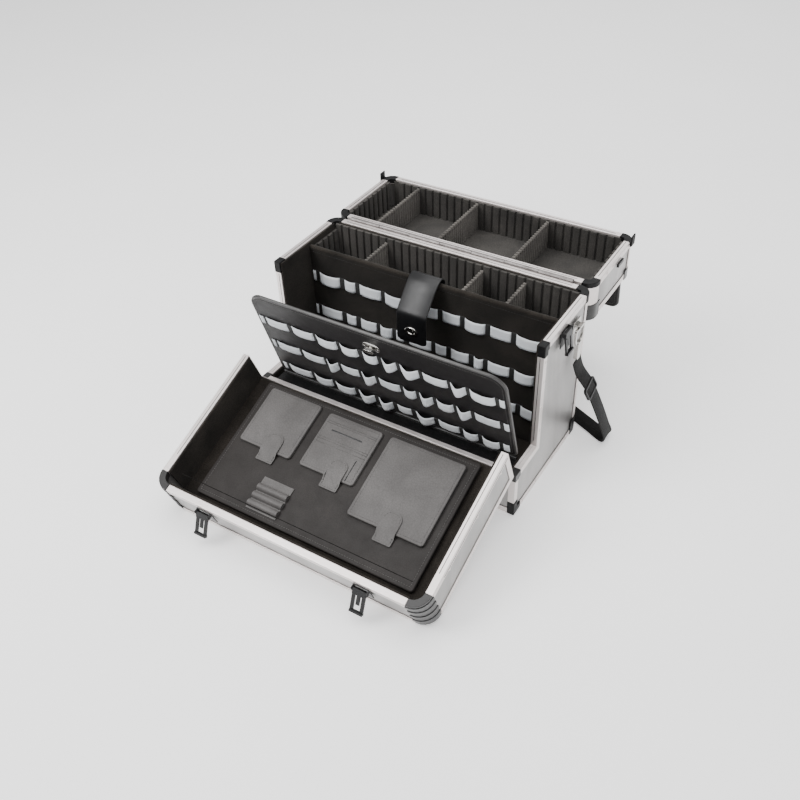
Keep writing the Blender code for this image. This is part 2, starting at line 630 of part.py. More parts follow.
# ---------------------------------------------------------------- front door
def door_tray(look, door):
    low, high = DOOR_FOOT, TOP
    straight = high - DOOR_RADIUS - GAP
    wall_top = DOOR_RIM - RAIL - GAP
    half = HALF - INSET
    radius = DOOR_RADIUS - INSET
    shell = Shape()
    plan = rounded(-half, half, low + INSET, high - INSET, (0, 0, radius, radius))
    shell.prism(plan, "y", FRONT + INSET, wall_top)
    inside = rounded(-half + SKIN, half - SKIN, low - 0.01, high - INSET - SKIN,
                     (0, 0, radius - SKIN, radius - SKIN))
    shell.prism(inside, "y", FRONT + INSET + SKIN, wall_top + 0.01, cut=True)
    shell.node("door_shell", look["panel"], door)

    frame = Shape()
    outer = (FRONT, FRONT + RAIL)
    cover = (FRONT, FRONT + SHEET)
    rim = (DOOR_RIM - RAIL, DOOR_RIM)
    end_half = HALF - DOOR_RADIUS - GAP
    for side in (-1, 1):
        rail = mirrored(HALF - RAIL, HALF, side)
        skin = mirrored(HALF - SHEET, HALF, side)
        frame.box(skin, outer, (low, straight))
        frame.box(rail, cover, (low, straight))
        frame.box(rail, rim, (low, straight))
        frame.box(rail, (FRONT, DOOR_RIM), (low, low + SHEET))
        frame.box(skin, (FRONT, DOOR_RIM), (low, low + RAIL))
    frame.box((-HALF, HALF), cover, (low, low + RAIL))
    frame.box((-HALF, HALF), outer, (low, low + SHEET))
    frame.node("door_side_frame", look["aluminium"], door)
    end = Shape()
    end.box((-end_half, end_half), outer, (high - SHEET, high))
    end.box((-end_half, end_half), cover, (high - RAIL, high))
    end.node("door_end_angle", look["aluminium"], door)
    Shape().box((-end_half, end_half), rim, (high - RAIL, high)).node(
        "door_end_rail", look["aluminium"], door)

    for name, side in (("left", -1), ("right", 1)):
        centre = (side * (HALF - DOOR_RADIUS), high - DOOR_RADIUS)
        start = 0 if side > 0 else 90
        guard = Shape()
        guard.prism(quarter(centre, DOOR_RADIUS, DOOR_RADIUS - SHEET, start), "y", FRONT, DOOR_RIM)
        guard.prism(quarter(centre, DOOR_RADIUS, DOOR_RADIUS - RAIL, start), "y",
                    DOOR_RIM - RAIL, DOOR_RIM + 0.0008)
        guard.prism(quarter(centre, DOOR_RADIUS, DOOR_RADIUS - RAIL, start), "y",
                    FRONT, FRONT + SHEET)
        guard.node(f"door_guard_{name}", look["guard"], door, smooth=30)

    lining = Shape()
    floor = FRONT + INSET + SKIN + GAP
    lining.box((-INNER_HALF - LINING, INNER_HALF + LINING), (floor, floor + LINING),
               (low + 0.003, straight))
    lining.box((-end_half, end_half), (floor, floor + LINING), (straight - 0.001, high - RAIL - GAP))
    for side in (-1, 1):
        lining.box(mirrored(INNER_HALF, INNER_HALF + LINING, side), (floor, DOOR_RIM - 0.0015),
                   (low + 0.003, straight))
    lining.box((-end_half, end_half), (floor, DOOR_RIM - 0.0015),
               (high - RAIL - GAP - LINING, high - RAIL - GAP))
    lining.node("door_lining", look["lining"], door)
    return floor + LINING + GAP


def organizer(look, door, floor):
    """Raised pad on the door's lining, with two small pockets, a large pocket and pen loops."""
    foot = DOOR_FOOT
    pad = rounded(-0.194, 0.186, foot + 0.008, foot + 0.217, (0.004,) * 4)
    top = floor + PAD_THICK
    Shape().prism(pad, "y", floor, top).node("organizer_board", look["organizer"], door)
    rows = (("pocket_small", (-0.179, -0.084), (0.017, 0.116), 0.0050, -0.121, (0.086, 0.114)),
            ("pocket_card", (-0.066, 0.030), (0.021, 0.116), 0.0050, -0.004, (0.086, 0.114)),
            ("pocket_large", (0.044, 0.170), (0.021, 0.156), 0.0060, 0.112, (0.126, 0.154)))
    for name, x, reach, thick, tab, tab_reach in rows:
        shape = Shape()
        outline = rounded(*x, foot + reach[0], foot + reach[1], (0.005,) * 4)
        shape.prism(outline, "y", top + GAP, top + thick)
        tongue = rounded(tab - 0.013, tab + 0.013, foot + tab_reach[0], foot + tab_reach[1],
                         (0.002, 0.002, 0.006, 0.006))
        shape.prism(tongue, "y", top + thick - 0.001, top + thick + 0.0018)
        shape.node(name, look["pocket"], door)
    loops = Shape()
    loops.box((-0.102, -0.052), (top + GAP, top + 0.0012), (foot + 0.156, foot + 0.205))
    for i in range(3):
        reach = foot + 0.155 + i * 0.0175
        loops.prism(rounded(-0.104, -0.050, reach, reach + 0.0155, (0.004,) * 4), "y",
                    top + GAP, top + 0.007)
    loops.node("pen_loops", look["pocket"], door)


def door_latches(look, door):
    sideways, along, out = Vector((1, 0, 0)), Vector((0, 1, 0)), Vector((0, 0, 1))
    for name, side in (("left", -1), ("right", 1)):
        place = Vector((side * DOOR_LATCH_X, DOOR_RIM - 0.0125, TOP))
        clasp_base(place, sideways, along, out).node(f"door_clasp_base_{name}", look["black"], door)
        # Latched the clasp reaches over the lid. Unlatched it is swung back and hangs open.
        carrier = pivot(f"door_clasp_axis_{name}", place + out * CLASP_LIFT, door,
                        (DOOR_CLASP_REST, 0, 0))
        clasp(place, sideways, along, out).node(f"door_clasp_{name}", look["black"], carrier)


# ---------------------------------------------------------------- lid
def lid_tray(look, lid):
    low, high = LID_RIM, TOP
    half = HALF - INSET
    radius = POST_RADIUS - INSET
    wall_top = low + RAIL + GAP
    shell = Shape()
    plan = rounded(-half, half, STEP + INSET, BACK - INSET, (radius,) * 4)
    shell.prism(plan, "z", wall_top, high - INSET)
    inside = rounded(-half + SKIN, half - SKIN, STEP + INSET + SKIN, BACK - INSET - SKIN,
                     (radius - SKIN,) * 4)
    shell.prism(inside, "z", wall_top - 0.01, high - INSET - SKIN, cut=True)
    shell.node("lid_shell", look["panel"], lid)

    frame = Shape()
    inner_radius = POST_RADIUS - RAIL
    outer_plan = rounded(-HALF, HALF, STEP, BACK, (POST_RADIUS,) * 4)
    inner_plan = rounded(-HALF + RAIL, HALF - RAIL, STEP + RAIL, BACK - RAIL, (inner_radius,) * 4)
    sheet_plan = rounded(-HALF + SHEET, HALF - SHEET, STEP + SHEET, BACK - SHEET,
                         (POST_RADIUS - SHEET,) * 4)
    frame.prism(outer_plan, "z", low, high)
    frame.prism(inner_plan, "z", low - 0.01, high + 0.01, cut=True)
    frame.prism(sheet_plan, "z", low + RAIL, high - SHEET, cut=True)
    window = (low + RAIL, high - RAIL)
    long_span = (-HALF + POST_RADIUS + 0.002, HALF - POST_RADIUS - 0.002)
    short_span = (STEP + POST_RADIUS + 0.002, BACK - POST_RADIUS - 0.002)
    frame.box(long_span, (STEP - 0.01, BACK + 0.01), window, cut=True)
    frame.box((-HALF - 0.01, HALF + 0.01), short_span, window, cut=True)
    frame.node("lid_frame", look["aluminium"], lid, smooth=30)


def lid_inside(look, lid):
    """One corrugated tray insert and its three lift-out dividers."""
    low = LID_RIM + 0.003
    floor = TOP - INSET - SKIN - GAP
    mat = floor - LINING
    inner = HALF - RAIL - GAP
    front, back = STEP + RAIL + GAP, BACK - RAIL - GAP
    corner_x = HALF - POST_RADIUS - GAP
    shape = Shape()
    radius = POST_RADIUS - RAIL - GAP
    plan = rounded(-inner, inner, front, back, (radius,) * 4)
    shape.prism(plan, "z", mat, floor)
    joined = mat + LINING / 2
    shape.prism(ribbed(-corner_x, corner_x, front, 1), "z", low, joined)
    shape.prism(ribbed(-corner_x, corner_x, back, -1), "z", low, joined)
    for side in (-1, 1):
        ends = (STEP + POST_RADIUS, BACK - POST_RADIUS)
        shape.prism(ribbed(*ends, side * inner, -side, flip=True), "z", low, joined)
    shape.node("lid_tray_insert", look["ribbed"], lid)
    reach = (front + RIB_BASE + 0.0006, back - RIB_BASE - 0.0006)
    for number, pitches in enumerate((-11, -3, 6), 1):
        outline = wavy_divider(pitches * RIB_PITCH, *reach)
        Shape().prism(outline, "z", low + 0.001, mat - GAP).node(
            f"lid_divider_{number}", look["ribbed"], lid)


def lid_fittings(look, lid):
    for name, side in (("left", -1), ("right", 1)):
        x = mirrored(HALF + GAP, HALF + 0.004, side)
        Shape().box(x, (SIDE_LATCH_Y - 0.011, SIDE_LATCH_Y + 0.011),
                    (LID_RIM + 0.0100, LID_RIM + 0.0160)).node(f"lid_strike_{name}", look["black"], lid)

    reach, tall, thick = 0.062, 0.042, 0.013
    mount = Shape()
    mount.box((-reach - 0.014, reach + 0.014), (HANDLE_AXIS.y - 0.014, HANDLE_AXIS.y + 0.014),
              (TOP - INSET + GAP, TOP + 0.0020))
    for middle in (-reach, reach):
        for x in (middle - 0.0105, middle + 0.0075):
            mount.box((x, x + 0.003), (HANDLE_AXIS.y - 0.006, HANDLE_AXIS.y + 0.006),
                      (TOP + 0.0010, TOP + 0.0150))
    mount.node("handle_mount", look["black"], lid)

    carrier = pivot("handle_axis", HANDLE_AXIS, lid)
    base = HANDLE_AXIS.z - 0.004
    handle = Shape()
    handle.prism(rounded(-reach - 0.0065, reach + 0.0065, base, HANDLE_AXIS.z + tall,
                         (0.003, 0.003, 0.016, 0.016)), "y",
                 HANDLE_AXIS.y - thick / 2, HANDLE_AXIS.y + thick / 2)
    handle.prism(rounded(-reach + 0.0065, reach - 0.0065, base - 0.01, HANDLE_AXIS.z + tall - 0.015,
                         (0, 0, 0.010, 0.010)), "y",
                 HANDLE_AXIS.y - thick, HANDLE_AXIS.y + thick, cut=True)
    handle.node("carry_handle", look["black"], carrier, smooth=40)

    # The flap hangs from the lid's free edge. Shut, it would point up: its empty turns it to hang.
    carrier = pivot("flap_axis", FLAP_AXIS, lid, (FLAP_LEAN, 0, 0))
    outline = rounded(-FLAP_HALF, FLAP_HALF, FLAP_AXIS.z + 0.002, FLAP_AXIS.z + FLAP_LENGTH,
                      (0.002, 0.002, 0.013, 0.013))
    Shape().prism(outline, "y", FLAP_AXIS.y - 0.0015, FLAP_AXIS.y + 0.0015).node(
        "lid_flap", look["board"], carrier)


# ---------------------------------------------------------------- tool board
def tool_board(look, carrier):
    front = BOARD_AXIS.y - BOARD_THICK / 2
    low = BOARD_AXIS.z
    outline = rounded(-BOARD_HALF, BOARD_HALF, low, low + BOARD_TALL, (0.010, 0.010, 0.024, 0.024))
    Shape().prism(outline, "y", front, front + BOARD_THICK).node("tool_board", look["board"], carrier)
    rows = [low + reach for reach in BOARD_ROWS]
    loop_rows(BOARD_HALF - 0.010, front - GAP, BOARD_LOOP_DEPTH, rows, low + 0.006, low + 0.145).node(
        "tool_board_loops", look["elastic"], carrier)
    z = low + KNOB_HEIGHT
    place = Vector((0, front - GAP, z))
    knob_axis = pivot("turn_lock_axis", place, carrier)
    knob = Shape()
    knob.rod((0, z), "y", place.y - 0.0055, place.y, 0.0030)
    knob.prism(rounded(-0.0085, 0.0085, z - 0.0035, z + 0.0035, (0.0034,) * 4), "y",
               place.y - 0.0095, place.y - 0.0045)
    knob.node("turn_lock_knob", look["chrome"], knob_axis, smooth=40)


def main():
    clear_scene()
    look = finishes()
    door = pivot("door_axis", DOOR_AXIS, turn=(DOOR_OPEN, 0, 0))
    lid = pivot("lid_axis", LID_AXIS, turn=(-math.pi, 0, 0))
    board = pivot("tool_board_axis", BOARD_AXIS, turn=(BOARD_TILT, 0, 0))
    body_panels(look)
    body_frame(look)
    body_lining(look)
    compartment(look)
    loop_rows(INNER_HALF - 0.010, PARTITION_Y - PARTITION_THICK / 2 - GAP, LOOP_DEPTH,
              PARTITION_ROWS, 0.050, 0.220).node("partition_loops", look["elastic"])
    closing_strap(look)
    rings_and_hooks(look)
    side_latches(look)
    hinge("door", DOOR_AXIS, 1, 0.0115, 0.0105, look, door)
    hinge("lid", LID_AXIS, -1, 0.0095, 0.0095, look, lid)
    board_bracket(look)
    shoulder_strap(look)
    floor = door_tray(look, door)
    organizer(look, door, floor)
    door_latches(look, door)
    lid_tray(look, lid)
    lid_inside(look, lid)
    lid_fittings(look, lid)
    tool_board(look, board)


main()
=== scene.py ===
"""Looks of the aluminium-framed beauty case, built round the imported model.

Hard pieces are the model's own shapes with their edges rounded. Soft pieces are built here.
Metres, +Z up. A piece on the door, the lid or the tool board is drawn shut and then opened.
"""

import json
import math

import bmesh
import bpy
from mathutils import Matrix, Vector, noise


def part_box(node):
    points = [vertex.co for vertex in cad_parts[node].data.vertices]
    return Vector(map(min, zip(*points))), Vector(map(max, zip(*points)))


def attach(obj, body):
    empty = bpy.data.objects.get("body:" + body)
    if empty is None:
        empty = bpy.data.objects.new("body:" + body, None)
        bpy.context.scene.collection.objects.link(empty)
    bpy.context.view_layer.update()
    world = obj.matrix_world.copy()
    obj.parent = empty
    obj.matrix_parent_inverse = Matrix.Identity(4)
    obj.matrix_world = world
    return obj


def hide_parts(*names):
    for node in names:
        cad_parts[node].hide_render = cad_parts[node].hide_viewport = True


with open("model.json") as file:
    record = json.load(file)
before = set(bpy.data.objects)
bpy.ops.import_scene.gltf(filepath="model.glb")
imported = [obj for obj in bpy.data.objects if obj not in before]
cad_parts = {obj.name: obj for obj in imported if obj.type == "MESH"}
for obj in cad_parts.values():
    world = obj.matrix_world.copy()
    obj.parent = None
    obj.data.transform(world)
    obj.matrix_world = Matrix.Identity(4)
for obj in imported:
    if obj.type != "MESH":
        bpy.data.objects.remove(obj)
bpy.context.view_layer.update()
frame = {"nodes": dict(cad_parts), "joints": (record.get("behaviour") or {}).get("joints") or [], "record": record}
RECORD = frame["record"]
BODY_OF = {node: body for body, nodes in RECORD["behaviour"]["bodies"].items() for node in nodes}
SLOT_OF = {part["node"]: part["material_slot"] for part in RECORD["subparts"]}
JOINTS = {joint["name"]: joint for joint in frame["joints"]}
SIDES = (("left", -1), ("right", 1))
MM = 0.001


# ---- places
def opened(joint):
    """Matrix from a piece's place with the joint shut to its place at rest."""
    spec = JOINTS[joint]
    place = Vector(spec["pos_m"])
    turn = Matrix.Rotation(math.radians(-spec["range_deg"][1]), 4, Vector(spec["axis"]))
    return Matrix.Translation(place) @ turn @ Matrix.Translation(-place)


STILL = Matrix.Identity(4)
BOARD = opened("tool_board_tilt")
SPACES = {"front_door": opened("front_door"), "lid": opened("lid"), "board": BOARD, "knob": BOARD}


def shut_box(node):
    """Lowest and highest corner of a CAD node, with its joint shut."""
    back = SPACES.get(BODY_OF[node], STILL).inverted()
    points = [back @ vertex.co for vertex in frame["nodes"][node].data.vertices]
    low = Vector(min(p[i] for p in points) for i in range(3))
    high = Vector(max(p[i] for p in points) for i in range(3))
    return low, high


def axes(origin, u, v, w):
    """Matrix that takes local (u, v, w) to space."""
    made = Matrix((u, v, w)).transposed().to_4x4()
    made.translation = Vector(origin)
    return made


X, Y, Z = Vector((1, 0, 0)), Vector((0, 1, 0)), Vector((0, 0, 1))


# ---- materials
class Look:
    """Principled material whose colour, roughness and relief come from nodes."""

    def __init__(self, name, colour, roughness, metallic=0.0, **sockets):
        self.material = bpy.data.materials.new(name)
        self.material.use_nodes = True
        self.nodes = self.material.node_tree.nodes
        self.links = self.material.node_tree.links
        self.shader = self.nodes["Principled BSDF"]
        self.place = self.nodes.new("ShaderNodeTexCoord").outputs["Object"]
        self.height = None
        values = {"Base Color": (*colour, 1), "Roughness": roughness, "Metallic": metallic}
        for key, value in {**values, **sockets}.items():
            self.shader.inputs[key.replace("_", " ")].default_value = value

    def new(self, kind, inputs=(), **settings):
        node = self.nodes.new(kind)
        for key, value in settings.items():
            setattr(node, key, value)
        for key, value in inputs:
            if isinstance(value, bpy.types.NodeSocket):
                self.links.new(value, node.inputs[key])
            else:
                node.inputs[key].default_value = value
        return node

    def stretched(self, stretch):
        if stretch == (1, 1, 1):
            return self.place
        return self.new("ShaderNodeMapping", [("Vector", self.place), ("Scale", stretch)]).outputs[0]

    def noise(self, scale, detail=3.0, stretch=(1, 1, 1), distortion=0.0):
        return self.new("ShaderNodeTexNoise", [
            ("Vector", self.stretched(stretch)), ("Scale", scale), ("Detail", detail),
            ("Distortion", distortion)]).outputs["Fac"]

    def cells(self, scale, feature="F1", stretch=(1, 1, 1)):
        return self.new("ShaderNodeTexVoronoi", [
            ("Vector", self.stretched(stretch)), ("Scale", scale)], feature=feature).outputs["Distance"]

    def bands(self, direction, pitch):
        """Sine bands across X, Y or Z, one for each pitch."""
        return self.new("ShaderNodeTexWave", [
            ("Vector", self.place), ("Scale", math.pi / (10 * pitch)), ("Detail", 1.0)],
            bands_direction=direction).outputs["Fac"]

    def maths(self, operation, a, b):
        return self.new("ShaderNodeMath", [(0, a), (1, b)], operation=operation).outputs[0]

    def remap(self, factor, low, high, start=0.0, end=1.0):
        return self.new("ShaderNodeMapRange", [
            ("Value", factor), ("From Min", start), ("From Max", end), ("To Min", low),
            ("To Max", high)]).outputs["Result"]

    def colour(self, factor, first, second, start=0.3, end=0.7):
        ramp = self.new("ShaderNodeValToRGB", [("Fac", factor)])
        for element, place, tone in zip(ramp.color_ramp.elements, (start, end), (first, second)):
            element.position, element.color = place, (*tone, 1)
        return ramp.outputs["Color"]

    def blend(self, factor, under, over):
        """One plain colour laid over an output, as far as the factor says."""
        return self.new("ShaderNodeMix", [(0, factor), (6, under), (7, (*over, 1))],
                        data_type="RGBA").outputs[2]

    def paint(self, output):
        self.links.new(output, self.shader.inputs["Base Color"])

    def rough(self, output):
        self.links.new(output, self.shader.inputs["Roughness"])

    def relief(self, height, distance, strength=1.0):
        """Adds a bump of that depth in metres on top of those before it."""
        inputs = [("Height", height), ("Distance", distance), ("Strength", strength)]
        if self.height is not None:
            inputs.append(("Normal", self.height))
        self.height = self.new("ShaderNodeBump", inputs).outputs["Normal"]
        self.links.new(self.height, self.shader.inputs["Normal"])
        return self


def grained(name, base, roughness, metallic, cloud, dark, light, gloss=None, bump=None, **sockets):
    """Look whose colour, gloss and relief each follow a noise, given as (scale, detail, ends)."""
    made = Look(name, base, roughness, metallic, **sockets)
    made.paint(made.colour(made.noise(*cloud[:2]), dark, light, *cloud[2:]))
    if gloss:
        made.rough(made.remap(made.noise(*gloss[:2]), *gloss[2:]))
    if bump:
        made.relief(made.noise(*bump[:2]), *bump[2:])
    return made


def rail_look():
    rail = Look("anodised_aluminium", (0.76, 0.7, 0.68), 0.34, 0.65)
    rail.paint(rail.colour(rail.noise(9, 4), (0.7, 0.645, 0.625), (0.82, 0.765, 0.745)))
    grain = rail.noise(220, 5, stretch=(0.04, 1, 1))
    rail.rough(rail.remap(grain, 0.26, 0.44))
    return rail.relief(grain, 0.00004).relief(rail.noise(1400, 2), 0.00002)


def panel_look():
    panel = Look("silver_laminate", (0.4, 0.39, 0.38), 0.3, 0.65)
    stipple = panel.cells(620)
    # Tone varies in vertical streaks: partly the laminate's own tone, partly painted reflection
    cloud = panel.noise(13, 4, stretch=(1, 1, 0.3), distortion=0.6)
    panel.paint(panel.blend(panel.remap(stipple, 0.0, 0.35), panel.colour(
        cloud, (0.25, 0.242, 0.237), (0.5, 0.486, 0.477)), (0.22, 0.213, 0.208)))
    panel.rough(panel.remap(panel.noise(14, 4), 0.24, 0.42))
    return panel.relief(stipple, 0.00012, 0.7)


def cloth(name, dark, light, weave, depth, gleam, sheen=0.0, spread=0.5):
    made = Look(name, dark, 0.9, 0.0, Specular_IOR_Level=gleam, Sheen_Weight=sheen,
                Sheen_Roughness=spread)
    nap = made.noise(700, 6)
    cloud = made.noise(14, 5, distortion=0.8)
    made.paint(made.colour(made.maths("MULTIPLY", nap, cloud), dark, light, 0.12, 0.42))
    made.rough(made.remap(cloud, 0.78, 0.98))
    return made.relief(nap, depth).relief(made.noise(weave, 2), depth * 0.7)


def leather(name, dark, light, roughness, gleam, grain=520, depth=0.00016, **sockets):
    made = Look(name, dark, roughness, 0.0, Specular_IOR_Level=gleam, **sockets)
    pebble = made.cells(grain, "SMOOTH_F1")
    crease_shade = made.cells(grain * 0.6, "DISTANCE_TO_EDGE")
    shade = made.colour(made.noise(16, 5, distortion=0.5), dark, light, 0.32, 0.68)
    # Grain creases darkened to 0.6 of the dark tone: painted shade in the creases
    made.paint(made.blend(made.remap(crease_shade, 0.35, 0.0, 0.0, 0.12), shade,
                          [0.6 * value for value in dark]))
    made.rough(made.remap(made.noise(90, 4), roughness - 0.08, roughness + 0.12))
    return made.relief(pebble, depth, 0.8).relief(made.noise(30, 3), 0.0006, 0.35)


def elastic_look():
    elastic = Look("white_elastic", (0.66, 0.71, 0.76), 0.72, 0.0, Sheen_Weight=0.2)
    picks = elastic.maths("MULTIPLY", elastic.bands("X", 0.0008), 0.4)
    weave = elastic.maths("ADD", elastic.bands("Z", 0.0011), picks)
    elastic.paint(elastic.blend(elastic.remap(weave, 0.0, 0.35), elastic.colour(
        elastic.noise(45, 4), (0.72, 0.77, 0.82), (0.86, 0.89, 0.92)), (0.94, 0.96, 0.98)))
    return elastic.relief(weave, 0.00025)


def webbing_look():
    webbing = Look("nylon_webbing", (0.009, 0.0085, 0.008), 0.7, 0.0, Sheen_Weight=0.04,
                   Specular_IOR_Level=0.15)
    diagonal = webbing.new("ShaderNodeTexWave", [
        ("Vector", webbing.stretched((1, 1.6, 1.2))), ("Scale", 190.0), ("Distortion", 0.6)],
        bands_direction="DIAGONAL").outputs["Fac"]
    weave = webbing.maths("MULTIPLY", diagonal, webbing.bands("Y", 0.0016))
    webbing.paint(webbing.colour(weave, (0.004, 0.0038, 0.0036), (0.017, 0.016, 0.015), 0.1, 0.9))
    webbing.rough(webbing.remap(webbing.noise(300, 3), 0.5, 0.75))
    return webbing.relief(weave, 0.0004)


LOOKS = {
    "rail": rail_look(),
    # Dark steel for the hinge leaves, darker still as painted shade in the gap between the rims
    "hinge": grained(
        "hinge_steel_painted_shade", (0.2, 0.185, 0.18), 0.42, 0.7, (60, 4), (0.14, 0.128, 0.125),
        (0.25, 0.232, 0.226), (220, 4, 0.34, 0.5), (1200, 2, 0.00002)),
    "bright": grained(
        "nickel_plate", (0.62, 0.61, 0.58), 0.16, 1.0, (70, 3), (0.46, 0.45, 0.43),
        (0.7, 0.69, 0.66), (160, 5, 0.08, 0.3, 0.3, 0.7), (900, 2, 0.00001)),
    "black": grained(
        "black_lacquer", (0.012, 0.012, 0.013), 0.36, 0.2, (420, 5, 0.45, 0.8), (0.007, 0.007, 0.0075),
        (0.026, 0.025, 0.025), (90, 4, 0.2, 0.46), (420, 5, 0.00004), Specular_IOR_Level=0.35),
    "panel": panel_look(),
    "guard": grained(
        "moulded_guard", (0.02, 0.02, 0.02), 0.32, 0.0, (25, 3), (0.014, 0.0135, 0.0135),
        (0.028, 0.027, 0.027), (240, 4, 0.26, 0.4), (900, 2, 0.00001), Coat_Weight=0.15,
        Specular_IOR_Level=0.35),
    "cap": grained(
        "black_cap", (0.007, 0.007, 0.0075), 0.5, 0.0, (80, 5), (0.004, 0.004, 0.0043),
        (0.012, 0.012, 0.0125), (260, 4, 0.36, 0.6), (800, 3, 0.00001), Specular_IOR_Level=0.16),
    "lining": cloth("napped_lining", (0.008, 0.0068, 0.0056), (0.038, 0.032, 0.027), 1600, 0.0002, 0.1,
                    0.08),
    # Ridge and slot flocks are lit and shaded copies of one cloth: painted light on the ridges, painted shade in
    # the slots
    "ridge": cloth("flocked_ridge_painted_light", (0.022, 0.0203, 0.0185), (0.068, 0.062, 0.056), 1900, 0.00016, 0.12,
                   0.12, 0.6),
    "groove": cloth("painted_shade_cloth", (0.004, 0.0038, 0.0035), (0.014, 0.013, 0.012), 1900, 0.00016, 0.08),
    "mat": cloth("tray_mat", (0.013, 0.0125, 0.012), (0.033, 0.0315, 0.03), 1500, 0.00015, 0.15, 0.1),
    # Very light flock for the dividers' beaded tops: a painted highlight where light falls on them
    "edge": cloth("edge_painted_highlight", (0.4, 0.376, 0.35), (0.82, 0.78, 0.735), 1700, 0.00015, 0.15),
    "divider": cloth("divider_cloth", (0.055, 0.05, 0.046), (0.165, 0.152, 0.138), 1900, 0.00016, 0.12,
                     0.12, 0.6),
    "board": leather("board_leatherette", (0.0085, 0.0075, 0.008), (0.017, 0.0155, 0.016), 0.46, 0.3),
    "organizer": leather("organizer_leatherette", (0.019, 0.0165, 0.0155), (0.031, 0.0272, 0.0255), 0.6,
                         0.25),
    "pocket": leather("pocket_leatherette", (0.082, 0.077, 0.075), (0.122, 0.115, 0.112), 0.52, 0.35, 420,
                      0.00022),
    "strap": leather("strap_leather", (0.004, 0.004, 0.0045), (0.01, 0.01, 0.011), 0.36, 0.3, 600, 0.00008,
                     Coat_Weight=0.15, Coat_Roughness=0.3),
    "piping": leather("edge_piping", (0.03, 0.029, 0.028), (0.06, 0.058, 0.057), 0.36, 0.5, 700, 0.00008),
    "elastic": elastic_look(),
    "webbing": webbing_look(),
    "thread": grained("grey_thread", (0.16, 0.155, 0.15), 0.7, 0.0, (900, 3), (0.05, 0.048, 0.046),
                      (0.11, 0.105, 0.1)),
    "dark_thread": grained("black_thread", (0.015, 0.015, 0.015), 0.7, 0.0, (900, 3),
                           (0.008, 0.008, 0.008), (0.032, 0.032, 0.032)),
}


# ---- mesh tools
def linked(name, data):
    made = bpy.data.objects.new(name, data)
    bpy.context.scene.collection.objects.link(made)
    return made


def add(name, mesh, look, body, slot, smooth=40, bevel=0.0, segments=3, shut=True):
    """Makes a piece of a mesh or bmesh, opens it with its body and joins it to the frame."""
    if isinstance(mesh, bmesh.types.BMesh):
        form, mesh = mesh, bpy.data.meshes.new(name)
        bmesh.ops.recalc_face_normals(form, faces=form.faces)
        form.to_mesh(mesh)
        form.free()
    if shut:
        mesh.transform(SPACES.get(body, STILL))
    mesh.materials.clear()
    for one in look.split():
        mesh.materials.append(LOOKS[one].material)
    mesh.shade_smooth()
    mesh.set_sharp_from_angle(angle=math.radians(smooth))
    piece = linked(name, mesh)
    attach(piece, body)
    if bevel:
        edges = piece.modifiers.new("rounded edges", "BEVEL")
        edges.width, edges.segments = bevel, segments
        edges.limit_method, edges.angle_limit = "ANGLE", math.radians(35)
        edges.harden_normals = True
    return piece


def stand_in(node, mesh, look, **more):
    """Makes the piece that is seen in place of a CAD node."""
    piece = add(node + "_shape", mesh, look, BODY_OF[node], SLOT_OF[node], **more)
    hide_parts(node)
    return piece


def refined(node, look, width, segments):
    """The CAD node's own shape with its edges rounded, in place of it."""
    mesh = frame["nodes"][node].data.copy()
    form = bmesh.new()
    form.from_mesh(mesh)
    bmesh.ops.remove_doubles(form, verts=form.verts, dist=1e-5)
    bmesh.ops.dissolve_limit(form, angle_limit=math.radians(1), verts=form.verts, edges=form.edges)
    form.to_mesh(mesh)
    form.free()
    stand_in(node, mesh, look, smooth=30, bevel=width, segments=segments, shut=False)


def bridge(form, rings, cap_ends=True, material=0, tones=()):
    """Skins rings of points into a surface. Tones give each side its own material."""
    made = [[form.verts.new(point) for point in ring] for ring in rings]
    count = len(rings[0])
    for first, second in zip(made, made[1:]):
        for i in range(count):
            j = (i + 1) % count
            side = form.faces.new((first[i], first[j], second[j], second[i]))
            side.material_index = tones[i] if tones else material
    for cap in (made[0][::-1], made[-1]) if cap_ends else ():
        form.faces.new(cap).material_index = material
    return made


def corners(x, y, radii, steps=5, inset=0.0):
    """Rectangle with rounded corners, counter-clockwise from its low corner."""
    smallest = 0.0002
    x0, x1, y0, y1 = x[0] + inset, x[1] - inset, y[0] + inset, y[1] - inset
    points = []
    for i, (cx, cy) in enumerate(((x0, y0), (x1, y0), (x1, y1), (x0, y1))):
        radius = max(radii[i] - inset, smallest)
        mx = cx + radius if cx == x0 else cx - radius
        my = cy + radius if cy == y0 else cy - radius
        for k in range(steps + 1):
            turn = math.radians(180 + 90 * i + 90 * k / steps)
            points.append((mx + radius * math.cos(turn), my + radius * math.sin(turn)))
    return points


def rim_line(place, x, y, radii, steps, inset, height=0.0):
    """A rounded rectangle's corner points in space."""
    return [place @ Vector((a, b, height)) for a, b in corners(x, y, radii, steps, inset)]


def slab(form, place, x, y, radii, levels, steps=5, material=0):
    """Rounded rectangle built up through levels of (inset, height)."""
    rings = [rim_line(place, x, y, radii, steps, *level) for level in levels]
    return bridge(form, rings, material=material)


def eased(height, edge, base=0.0, crown=0.0, reach=0.0):
    """Levels of a slab with rounded top edges and, if it has a crown, a domed top."""
    levels = [(0.0, base)]
    steps = 4
    for i in range(steps + 1):
        turn = math.pi / 2 * i / steps
        levels.append((edge * (1 - math.cos(turn)), height - edge + edge * math.sin(turn)))
    rings = 5 if crown else 0
    for i in range(1, rings + 1):
        share = i / rings
        levels.append((edge + (reach - edge) * share, height + crown * math.sin(math.pi / 2 * share)))
    return levels


def circle(centre, radius, side, up, sides):
    turns = [math.tau * k / sides for k in range(sides)]
    return [centre + radius * (math.cos(t) * side + math.sin(t) * up) for t in turns]


